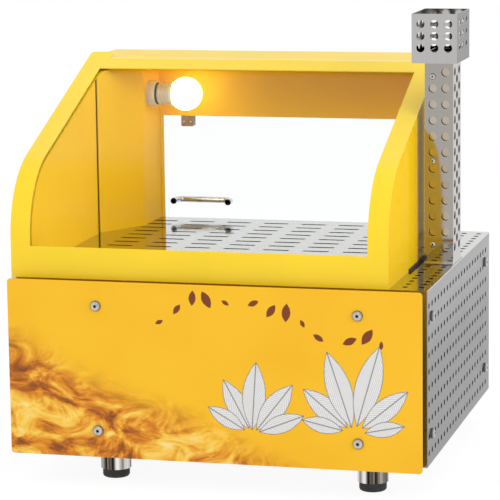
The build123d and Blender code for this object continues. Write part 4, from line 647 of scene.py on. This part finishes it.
def on_seeds(w, seeds, shape):
    """A copy of the shape on every seed, its +Z along the seed's facing, turned at random about it."""
    facing = w.node("GeometryNodeInputNamedAttribute", {"data_type": "FLOAT_VECTOR"}, {"Name": "facing"})
    aimed = w.node("FunctionNodeAlignRotationToVector", {"axis": "Z"}, {"Vector": facing})
    chance = w.node("FunctionNodeRandomValue", {"data_type": "FLOAT"}, {2: 0.0, 3: tau, "Seed": 7},
                    output=1)
    spin = w.node("FunctionNodeAxisAngleToRotation", {}, {"Axis": (0, 0, 1), "Angle": chance})
    turned = w.node("FunctionNodeRotateRotation", {"rotation_space": "LOCAL"}, {0: aimed, 1: spin})
    spots = w.node("GeometryNodeMeshToPoints", {}, {0: seeds})
    return w.node("GeometryNodeInstanceOnPoints", {},
                  {"Points": spots, "Instance": shape, "Rotation": turned})


def close_plan(w, shape, *wear):
    """Ends a plan with real mesh in its finishes: (finish, mask of the faces that wear it), ..."""
    shape = w.node("GeometryNodeRealizeInstances", {}, {0: shape})
    for name, mask in wear:
        shape = w.node("GeometryNodeSetMaterial", {}, {0: shape, 1: mask, 2: finishes[name]})
    w.node("NodeGroupOutput", {}, {0: shape})
    return w.tree


HEAD_ROWS = 9       # rows of points from the middle of the drive out to the skirt
HEAD_SPOKES = 37    # the last spoke closes on the first
DRIVE_ROWS = 1.6    # faces up to here are the inside of the drive
SKIRT_SHARE = 0.25  # of the head's height
WELD = 0.000001


def socket_screw_plan():
    """A domed head with a six-sided drive: a sheet of rows and spokes, rolled up round the axis."""
    w, seeds, (radius, height, flats, depth) = plan(
        "socket_screw", "Head radius", "Head height", "Drive flats", "Drive depth")
    sheet = w.node("GeometryNodeMeshGrid", {}, {
        "Size X": 1.0, "Size Y": 1.0, "Vertices X": HEAD_ROWS, "Vertices Y": HEAD_SPOKES})
    row, spoke, _ = w.axes(w.node("GeometryNodeInputPosition"))
    row, turn = (row + 0.5) * (HEAD_ROWS - 1.0), (spoke + 0.5) * tau
    sixth = w.math("MODULO", turn, pi / 3) - pi / 6
    drive = flats * 0.5 / w.math("COSINE", sixth)
    arc = between(w, row, 2.0, HEAD_ROWS - 2.0) * (pi / 2)
    reach = drive * between(w, row, 0.0, 1.0) + (radius - drive) * w.math("SINE", arc)
    skirt = height * SKIRT_SHARE
    rise = skirt + (height - skirt) * w.math("COSINE", arc)
    rise = rise - depth * (1.0 - between(w, row, 1.0, 2.0))
    rise = rise * (1.0 - between(w, row, HEAD_ROWS - 2.0, HEAD_ROWS - 1.0))
    rolled_up = point(w, reach * w.math("COSINE", turn), reach * w.math("SINE", turn), rise)
    kept = w.node("GeometryNodeStoreNamedAttribute", {"data_type": "FLOAT", "domain": "POINT"},
                  {0: sheet, "Name": "row", "Value": row})
    head = w.node("GeometryNodeSetPosition", {}, {0: kept, "Position": rolled_up})
    head = w.node("GeometryNodeMergeByDistance", {}, {0: head, "Distance": WELD})
    heads = on_seeds(w, seeds, rounded_shading(w, head))
    far = w.node("GeometryNodeInputNamedAttribute", {"data_type": "FLOAT"}, {"Name": "row"})
    return close_plan(w, heads, ("screw_steel", True),
                      ("drive_shade", w.math("LESS_THAN", far, DRIVE_ROWS)))


RING_SIDES, BAND_SIDES, RIB_SIDES = 48, 10, 10
PRINT_DEPTH = 0.0001


def ring_plan(worn):
    """A round band on every seed."""
    w, seeds, (radius, band) = plan("ring_in_" + worn, "Ring radius", "Band radius")
    path = w.node("GeometryNodeCurvePrimitiveCircle", {}, {"Resolution": RING_SIDES, "Radius": radius})
    section = w.node("GeometryNodeCurvePrimitiveCircle", {}, {"Resolution": BAND_SIDES, "Radius": band})
    ring = w.node("GeometryNodeCurveToMesh", {}, {0: path, 1: section})
    return close_plan(w, on_seeds(w, seeds, rounded_shading(w, ring, crease=1.2)), (worn, True))


def arc_plan(name, bar_of, worn):
    """One bar again and again on an arc about +Z, clockwise from +Y, such as the marks of a dial."""
    w, _, (count, radius, length, width, start, sweep) = plan(
        name + "_in_" + worn, "Count", "Arc radius", "Bar length", "Bar width", "Start", "Sweep")
    order = w.node("GeometryNodeInputIndex")
    angle = start + sweep * order / (count - 1.0)
    place = point(w, radius * w.math("SINE", angle), radius * w.math("COSINE", angle), 0.0)
    spots = w.node("GeometryNodePoints", {}, {"Count": count, "Position": place})
    turned = point(w, 0.0, 0.0, angle * -1.0)
    bars = w.node("GeometryNodeInstanceOnPoints", {},
                  {"Points": spots, "Instance": bar_of(w, width, length), "Rotation": turned})
    return close_plan(w, bars, (worn, True))


def flat_bar(w, width, length):
    """A printed mark, long along +Y."""
    return w.node("GeometryNodeMeshCube", {}, {"Size": point(w, width, length, PRINT_DEPTH)})


def round_rib(w, width, length):
    """A rib that stands along +Z, such as those of a knob's grip."""
    rib = w.node("GeometryNodeMeshCylinder", {"fill_type": "TRIANGLE_FAN"},
                 {"Vertices": RIB_SIDES, "Radius": width, "Depth": length})
    return rounded_shading(w, rib)


def on_arc(count, radius, length, width, sweep, start=0.0):
    """The sizes that an arc plan asks for."""
    return {"Count": count, "Arc radius": radius, "Bar length": length, "Bar width": width,
            "Start": start, "Sweep": sweep}


def shown(name, data):
    """A new object of the scene."""
    thing = bpy.data.objects.new(name, data)
    bpy.context.scene.collection.objects.link(thing)
    return thing


def final_mesh(thing):
    """What the object looks like, as a plain mesh. The object itself goes."""
    graph = bpy.context.evaluated_depsgraph_get()
    mesh = bpy.data.meshes.new_from_object(thing.evaluated_get(graph), depsgraph=graph)
    bpy.data.objects.remove(thing)
    return mesh


def made(name, tree, sizes, body, seeds=(), place=Matrix.Identity(4), stands_for=()):
    """The plan's shape at these sizes, as a plain mesh that rides on a body of the oven."""
    points = bpy.data.meshes.new(name + "_seeds")
    points.from_pydata([spot for spot, _ in seeds], [], [])
    facing = points.attributes.new("facing", "FLOAT_VECTOR", "POINT")
    for entry, (_, way) in zip(facing.data, seeds):
        entry.vector = way
    host = shown(name + "_seeds", points)
    modifier = host.modifiers.new("plan", "NODES")
    modifier.node_group = tree
    for item in tree.interface.items_tree:
        if item.in_out == "INPUT" and item.name in sizes:
            modifier[item.identifier] = sizes[item.name]
    mesh = final_mesh(host)
    mesh.name = name
    mesh.transform(place)
    piece(name, mesh, body, stands_for)


def as_mesh(shape, name, worn):
    """What was drawn in a bmesh, as a mesh in one finish."""
    mesh = bpy.data.meshes.new(name)
    shape.to_mesh(mesh)
    shape.free()
    mesh.materials.clear()
    mesh.materials.append(finishes[worn])
    return mesh


def piece(name, mesh, body, stands_for=()):
    """The mesh as a piece of the oven that rides on this body."""
    thing = shown(name, mesh)
    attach(thing, body)
    if stands_for:
        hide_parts(*stands_for)


# ------------ places from the frame
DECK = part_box("deck_plate")[1].z
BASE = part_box("base_pan")[0].z
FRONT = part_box("body_front_panel")[0].y
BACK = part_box("rear_panel")[1].y
GUARD_LOW, GUARD_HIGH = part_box("flue_guard")
GUARD_FEET = 0.011              # how far its feet stand out from its face
GUARD_FACE = GUARD_LOW.y + GUARD_FEET
CATCH_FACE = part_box("door_catch")[0].y
HOLDER_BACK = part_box("lamp_holder")[0].x
HINGE_LOW, HINGE_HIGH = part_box("door_hinge_brackets")


def middle(node):
    """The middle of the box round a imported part."""
    low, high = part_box(node)
    return 0.5 * (low + high)


TOWARDS_CUSTOMER, TOWARDS_COOK = (0, -1, 0), (0, 1, 0)


def rear_place(spot):
    """Lays a flat shape on the operator's side: its +Y up, its +Z towards the operator."""
    return Matrix.Translation(spot) @ Matrix(((-1, 0, 0, 0), (0, 0, 1, 0), (0, 1, 0, 0), (0, 0, 0, 1)))


# ------------ screws
def socket_head(radius, height, flats, depth):
    """The sizes that the screw's plan asks for."""
    return {"Head radius": radius, "Head height": height, "Drive flats": flats, "Drive depth": depth}


SCREW = socket_screw_plan()
M5_HEAD = socket_head(radius=0.0075, height=0.004, flats=0.0042, depth=0.0022)
M3_HEAD = socket_head(radius=0.0045, height=0.0025, flats=0.0026, depth=0.0014)
SMALL_HEAD = socket_head(radius=0.0022, height=0.0012, flats=0.0013, depth=0.0007)

# distances of the screws in from the edges of what they hold
PLATE_LEFT, PLATE_RIGHT, PLATE_FOOT, PLATE_TOP = 0.131, 0.090, 0.0385, 0.035
SIDE_FRONT, SIDE_BACK, SIDE_ENDS = 0.035, 0.037, 0.041
REAR_SIDES, REAR_ENDS = 0.008, 0.012
GUARD_ASIDE, GUARD_FIRST, GUARD_PITCH = 0.0092, 0.030, 0.121    # off its middle, above the deck, apart
CATCH_ASIDE, CATCH_DROP = 0.0055, 0.002                         # off its middle, below it
HINGE_HEIGHT, HINGE_SHEET = 0.042, 0.002                        # of one bracket
HINGE_RISES, HINGE_REACHES = (0.007, 0.035), (0.014, 0.026)


def screws(name, head, seeds, stands_for=()):
    """Screw heads on the oven's body: (place, facing) each."""
    made(name, SCREW, head, "oven", seeds, stands_for=stands_for)


plate_screws = [((x, PLATE_LOW.y, z), TOWARDS_CUSTOMER)
                for x in (PLATE_LOW.x + PLATE_LEFT, PLATE_HIGH.x - PLATE_RIGHT)
                for z in (PLATE_LOW.z + PLATE_FOOT, PLATE_HIGH.z - PLATE_TOP)]
side_screws = [((x, y, z), (way, 0, 0))
               for x, way in ((BODY_LEFT, -1), (BODY_HIGH.x, 1))
               for y in (FRONT + SIDE_FRONT, BACK - SIDE_BACK)
               for z in (BASE + SIDE_ENDS, DECK - SIDE_ENDS)]
screws("socket_screws", M5_HEAD, plate_screws + side_screws, ["panel_screws"])

guard_screw_x = 0.5 * (GUARD_LOW.x + GUARD_HIGH.x) - GUARD_ASIDE
screws("guard_socket_screws", M3_HEAD,
       [((guard_screw_x, GUARD_FACE, DECK + GUARD_FIRST + GUARD_PITCH * k), TOWARDS_CUSTOMER)
        for k in range(3)],
       ["flue_guard_screws"])

catch_mid = middle("door_catch")
screws("catch_screws", SMALL_HEAD,
       [((catch_mid.x + side * CATCH_ASIDE, CATCH_FACE, catch_mid.z - CATCH_DROP), TOWARDS_CUSTOMER)
        for side in (-1, 1)])

screws("hinge_screws", SMALL_HEAD,
       [((HINGE_LOW.x + reach, BACK + HINGE_SHEET, z + rise), TOWARDS_COOK)
        for z in (HINGE_LOW.z, HINGE_HIGH.z - HINGE_HEIGHT)
        for rise in HINGE_RISES
        for reach in HINGE_REACHES])

rear_low, rear_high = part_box("rear_panel")
screws("rear_panel_screws", SMALL_HEAD,
       [((x, BACK, z), TOWARDS_COOK)
        for x in (rear_low.x + REAR_SIDES, rear_high.x - REAR_SIDES)
        for z in (rear_low.z + REAR_ENDS, 0.5 * (rear_low.z + rear_high.z), rear_high.z - REAR_ENDS)])


# ------------ lips over the side linings
LININGS_LOW, LININGS_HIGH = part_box("hood_linings")
REAR_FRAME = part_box("hood_rear_frame")[0].y
HOOD_SLOPE = radians(21.2)      # the glazed slope above horizontal
FRAME_LAP = 0.012               # front frame past the bend, onto the flat top
HOOD_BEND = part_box("hood_top_panel")[0].y - FRAME_LAP
HOOD_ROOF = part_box("hood_top_panel")[0].z
GLASS_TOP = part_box("hood_glass")[1].y
SHEET = 0.001                   # thickness
FOLD_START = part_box("hood_front_frame")[0].y + 0.3215   # where the rear left lining folds out
FOLD_END = REAR_FRAME - 0.0895  # where it turns back beside the lamp
SEAM = 0.0006                   # lip behind the lining's upper edge
GLASS_GAP = 0.0008              # between the glass and the lips' front ends
ROOF_GAP = 0.0004               # between the roof and the lips
FOLD_LIP = 0.0035               # lining's edge beside the upright gap, before the fold
COVER_FOOT, COVER_TOP = 0.00005, 0.0008     # the cover over the fold, above the lips' feet
COVER_WALL = 0.9 * SHEET        # the cover's reach outwards over the lining's edge
LIP_EDGE = 0.0002               # rounding of every edge


def fall(y):
    """How far the sloping roof has dropped at this depth, in front of the bend."""
    return max(0.0, HOOD_BEND - y) * tan(HOOD_SLOPE)


def bend_lip(lips, path, thick):
    """A folded sheet along this path, from the linings' upper edge up to the roof."""
    rows = []
    for x, y in path:
        roof, foot = HOOD_ROOF - ROOF_GAP - fall(y), LININGS_HIGH.z - SEAM - fall(y)
        rows.append([lips.verts.new((x + across, y, z))
                     for across, z in ((0, foot), (0, roof), (thick, roof), (thick, foot))])
    lips.faces.new(rows[0])
    lips.faces.new(rows[-1])
    for near, far in zip(rows, rows[1:]):
        for k in range(4):
            lips.faces.new((near[k], near[k - 1], far[k - 1], far[k]))


def lay_cover(lips, outline):
    """A sloping sheet of this outline over the fold, its upper and lower face joined all round."""
    faces = []
    for rise in (COVER_FOOT, COVER_TOP):
        faces.append([lips.verts.new((x, y, LININGS_HIGH.z - SEAM + rise - fall(y))) for x, y in outline])
        lips.faces.new(faces[-1])
    for k in range(len(outline)):
        lips.faces.new((faces[0][k], faces[0][k - 1], faces[1][k - 1], faces[1][k]))


def lining_lips():
    """Folded edges between the side linings and the hood's roof, and the cover over the fold."""
    lips = bmesh.new()
    start = GLASS_TOP + GLASS_GAP
    left, right, lamp = LININGS_LOW.x + SHEET, LININGS_HIGH.x - SHEET, HOLDER_BACK
    lean = (lamp - left) / (FOLD_END - FOLD_START)
    folded = [(left + lean * (y - FOLD_START), y) for y in (start, HOOD_BEND, FOLD_END)]
    bend_lip(lips, folded + [(lamp, REAR_FRAME - SEAM)], -SHEET)
    bend_lip(lips, [(right, y) for y in (start, HOOD_BEND, LININGS_HIGH.y - SEAM)], SHEET)
    wall, eaves = left - COVER_WALL, FOLD_START - FOLD_LIP
    lay_cover(lips, [(wall, eaves), (left, eaves), (left, FOLD_START),
                     (left + lean * (HOOD_BEND - FOLD_START), HOOD_BEND), (wall, HOOD_BEND)])
    bmesh.ops.recalc_face_normals(lips, faces=lips.faces)
    bmesh.ops.bevel(lips, geom=lips.edges, offset=LIP_EDGE, segments=2, affect="EDGES")
    return as_mesh(lips, "lining_top_lips", "lining_enamel")


piece("lining_top_lips", lining_lips(), "oven")


# ------------ lamp holder's rings
LAMP_BASE = 0.013               # thickness of the holder's base
BASE_RIDGES = (0.0035, 0.0075)  # their distances from the holder's back
SKIRT_RIDGES, SKIRT_STEP, SKIRT_FLARE = 4, 0.0040, 0.00038
lamp_mid = middle("lamp_holder")


def lamp_rings(name, distances, radius, band, worn="lamp_glaze"):
    """Round bands about the lamp's axis, at these distances from the holder's back."""
    made(name, ring_plan(worn), {"Ring radius": radius, "Band radius": band}, "oven",
         [((HOLDER_BACK + out, lamp_mid.y, lamp_mid.z), (1, 0, 0)) for out in distances])


lamp_rings("lamp_base_ridges", BASE_RIDGES, radius=0.0195, band=0.0009)
lamp_rings("lamp_gasket", [LAMP_BASE + 0.0014], radius=0.0152, band=0.0019,
           worn="gasket_fibre")
lamp_rings("lamp_collar", [LAMP_BASE + 0.0058], radius=0.0160, band=0.0016)
for k in range(SKIRT_RIDGES):
    lamp_rings(f"lamp_skirt_ridge_{k}", [LAMP_BASE + 0.0110 + SKIRT_STEP * k],
               radius=0.0166 + SKIRT_FLARE * k, band=0.0006)


# ------------ operator's dials and marks
gauge = middle("gauge_housing")
GAUGE_FACE = BACK - 0.002       # where the dial's back lies
DIAL_OUTLINE = ((0.0230, 0.0), (0.0232, 0.00006), (0.0230, 0.00012), (0.0015, 0.00012))    # radius, out
DIAL_SPOKES = 64
DIAL_SWEEP = radians(270)
MARKS_OUT, FIGURES_OUT = 0.00014, 0.00016       # how far off the dial's back they are printed
WORDS_OUT, POINTER_OUT = 0.00006, 0.00002       # off the rear panel, off the knob
FIGURES, FIGURE_STEP, FIGURE_HEIGHT, FIGURE_RADIUS = 7, 50, 0.0044, 0.0155
LETTER_DEPTH = 0.00004


def dial_face():
    """White dial plate of the gauge, a thin disc with a turned-down rim and a hole for its pin."""
    shape = bmesh.new()
    turns = [tau * k / DIAL_SPOKES for k in range(DIAL_SPOKES)]
    rims = [[shape.verts.new((radius * cos(turn), radius * sin(turn), out)) for turn in turns]
            for radius, out in DIAL_OUTLINE]
    for lower, upper in zip(rims, rims[1:]):
        for k in range(DIAL_SPOKES):
            after = (k + 1) % DIAL_SPOKES
            shape.faces.new((lower[k], lower[after], upper[after], upper[k]))
    mesh = as_mesh(shape, "gauge_dial", "dial_enamel")
    mesh.transform(rear_place((gauge.x, GAUGE_FACE, gauge.z)))
    return mesh


def lettered(name, words, body, worn):
    """Printed figures and plain words: (word, height, place) each, as one flat mesh."""
    whole = bmesh.new()
    for word, height, place in words:
        line = bpy.data.curves.new(name, "FONT")
        line.body, line.size, line.extrude = word, height, LETTER_DEPTH
        line.align_x, line.align_y = "CENTER", "CENTER"
        line.resolution_u = 4
        flat = final_mesh(shown(name, line))
        flat.transform(place)
        whole.from_mesh(flat)
        bpy.data.meshes.remove(flat)
    piece(name, as_mesh(whole, name, worn), body)


piece("gauge_dial", dial_face(), "oven")

SCALE = arc_plan("scale", flat_bar, "black_print")
dial_place = rear_place((gauge.x, GAUGE_FACE + MARKS_OUT, gauge.z))
for name, sizes in (
        ("gauge_fine_marks", on_arc(count=31, radius=0.0213, length=0.0020, width=0.00035,
                                    sweep=DIAL_SWEEP, start=-DIAL_SWEEP / 2)),
        ("gauge_main_marks", on_arc(FIGURES, radius=0.0206, length=0.0034, width=0.0007,
                                    sweep=DIAL_SWEEP, start=-DIAL_SWEEP / 2))):
    made(name, SCALE, sizes, "oven", place=dial_place)

numbers = []
for k in range(FIGURES):
    lean = -DIAL_SWEEP / 2 + DIAL_SWEEP * k / (FIGURES - 1)
    spot = (gauge.x - FIGURE_RADIUS * sin(lean), GAUGE_FACE + FIGURES_OUT,
            gauge.z + FIGURE_RADIUS * cos(lean))
    numbers.append((str(FIGURE_STEP * k), FIGURE_HEIGHT, rear_place(spot)))
lettered("gauge_numbers", numbers, "oven", "black_print")

knob = middle("gas_knob")
knob_low, knob_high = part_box("gas_knob")
WORD_HEIGHT, WORD_RADIUS = 0.0065, 0.0262       # the words stand this far above and below the axis
RIBS, RIBS_OUT = 36, 0.0036                     # round the grip, their middle from the knob's back
lettered("knob_words",
         [(word, WORD_HEIGHT, rear_place((knob.x, BACK + WORDS_OUT, knob.z + way * WORD_RADIUS)))
          for word, way in (("OFF", 1), ("ON", -1))],
         "oven", "black_print")
made("knob_ribs", arc_plan("ribs", round_rib, "black_moulding"),
     on_arc(RIBS, radius=0.0197, length=0.0062, width=0.0007, sweep=tau * (RIBS - 1) / RIBS),
     "gas_knob", place=rear_place((knob.x, knob_low.y + RIBS_OUT, knob.z)))
made("knob_pointer", arc_plan("scale", flat_bar, "white_print"),
     on_arc(count=2, radius=0.0115, length=0.0085, width=0.0012, sweep=0.0),
     "gas_knob", place=rear_place((knob.x, knob_high.y + POINTER_OUT, knob.z)))

rocker = middle("lamp_switch_rocker")
AXIS_IN = 0.001                 # the rocker's axis, inside the rear panel
rocker_axis = (rocker.x, BACK - AXIS_IN, middle("lamp_switch_housing").z)
TIP = radians(10)               # lean of the rocker at rest
HOLLOW = radians(10.3)          # lean of each half of the rocker's hollowed face
SIGN_HEIGHT, SIGN_UP, SIGN_OUT = 0.0060, 0.0060, 0.00416


def rocker_place(up):
    """A place on the rocker's tilted face, `up` from its axis, flat on that half of the face."""
    lean = Matrix.Rotation(-TIP, 4, "X")
    half = Matrix.Rotation(HOLLOW if up > 0 else -HOLLOW, 4, "X")
    return Matrix.Translation(rocker_axis) @ lean @ rear_place((0, SIGN_OUT, up)) @ half


lettered("rocker_signs",
         [("I", SIGN_HEIGHT, rocker_place(SIGN_UP)), ("O", SIGN_HEIGHT, rocker_place(-SIGN_UP))],
         "lamp_rocker", "white_print")


# ------------ studio
AMBIENT = 0.74                  # strength of the soft light from all round
FLOOR_HALF = 30.0
FLOOR_GREY, FLOOR_GLOW, FLOOR_WHITE_SHARE = 0.86, 1.06, 0.86
SOFTBOXES = {   # place, size across, power in watts
    "softbox_key": ((-2.2, -3.4, 2.9), 2.2, 42.0),
    "softbox_fill": ((3.2, -1.4, 1.6), 2.0, 44.0),
    "softbox_top": ((0.2, 0.6, 3.2), 2.2, 10.0),
}
LAMPS_AIM = Vector((0, 0, 0.3))
EYE = (0.9449, -3.6143, 0.9396)
EYE_TURN, EYE_DOWN, EYE_ROLL = radians(14.966), radians(9.710), radians(-0.773)
LENS, SENSOR = 183.24, 36.0     # millimetres
NEAREST, FARTHEST = 0.1, 200.0


def seen_straight(w):
    """1 for what the camera sees straight, in metal or through glass, else 0."""
    rays = w.node("ShaderNodeLightPath", output="Is Camera Ray")
    return w.most(rays, w.most(rays.also("Is Glossy Ray"), rays.also("Is Transmission Ray")))


def studio_world():
    """Soft light from all round. Seen straight, in metal or through glass, it is plain white."""
    world = bpy.data.worlds.new("studio_light")
    world.use_nodes = True
    world.node_tree.nodes.clear()
    w = Wiring(world.node_tree)
    level = w.ease(seen_straight(w), 0.0, 1.0, at_low=AMBIENT, at_high=1.0)
    light = w.node("ShaderNodeBackground", {}, {"Color": (1.0, 1.0, 1.0), "Strength": level})
    w.node("ShaderNodeOutputWorld", {}, {"Surface": light})
    bpy.context.scene.world = world


@finish("studio_floor_paper")
def studio_floor_paper(w):
    paper = w.node("ShaderNodeBsdfDiffuse", {}, {"Color": (FLOOR_GREY, FLOOR_GREY, FLOOR_GREY)})
    white = w.node("ShaderNodeEmission", {}, {"Color": (1.0, 1.0, 1.0), "Strength": FLOOR_GLOW})
    return w.node("ShaderNodeMixShader", {},
                  {0: seen_straight(w) * FLOOR_WHITE_SHARE, 1: paper, 2: white})


def studio_floor():
    """A pale floor that keeps the oven's soft shadow and otherwise meets the white surround."""
    size = FLOOR_HALF
    sheet = bpy.data.meshes.new("studio_floor")
    sheet.from_pydata([(-size, -size, 0), (size, -size, 0), (size, size, 0), (-size, size, 0)], [],
                      [(0, 1, 2, 3)])
    floor = shown("studio_floor", sheet)
    floor.data.materials.append(finishes["studio_floor_paper"])


def studio_lamps():
    """Square softboxes, not mirrored in the metal."""
    for name, (place, size, power) in SOFTBOXES.items():
        lamp = bpy.data.lights.new(name, "AREA")
        lamp.shape, lamp.size, lamp.energy = "SQUARE", size, power
        box = shown(name, lamp)
        box.location = place
        box.rotation_euler = (LAMPS_AIM - Vector(place)).to_track_quat("-Z", "Y").to_euler()
        box.visible_glossy = False


def camera():
    """The customer's view of the counter, a little from the right and from above."""
    eye = bpy.data.cameras.new("counter_camera")
    eye.lens, eye.sensor_width = LENS, SENSOR
    eye.clip_start, eye.clip_end = NEAREST, FARTHEST
    stand = shown("counter_camera", eye)
    stand.matrix_world = (Matrix.Translation(EYE)
                          @ Matrix.Rotation(EYE_TURN, 4, "Z")
                          @ Matrix.Rotation(radians(90) - EYE_DOWN, 4, "X")
                          @ Matrix.Rotation(EYE_ROLL, 4, "Z"))
    bpy.context.scene.camera = stand


studio_world()
studio_floor()
studio_lamps()
camera()
bpy.context.scene.view_settings.view_transform = "Standard"
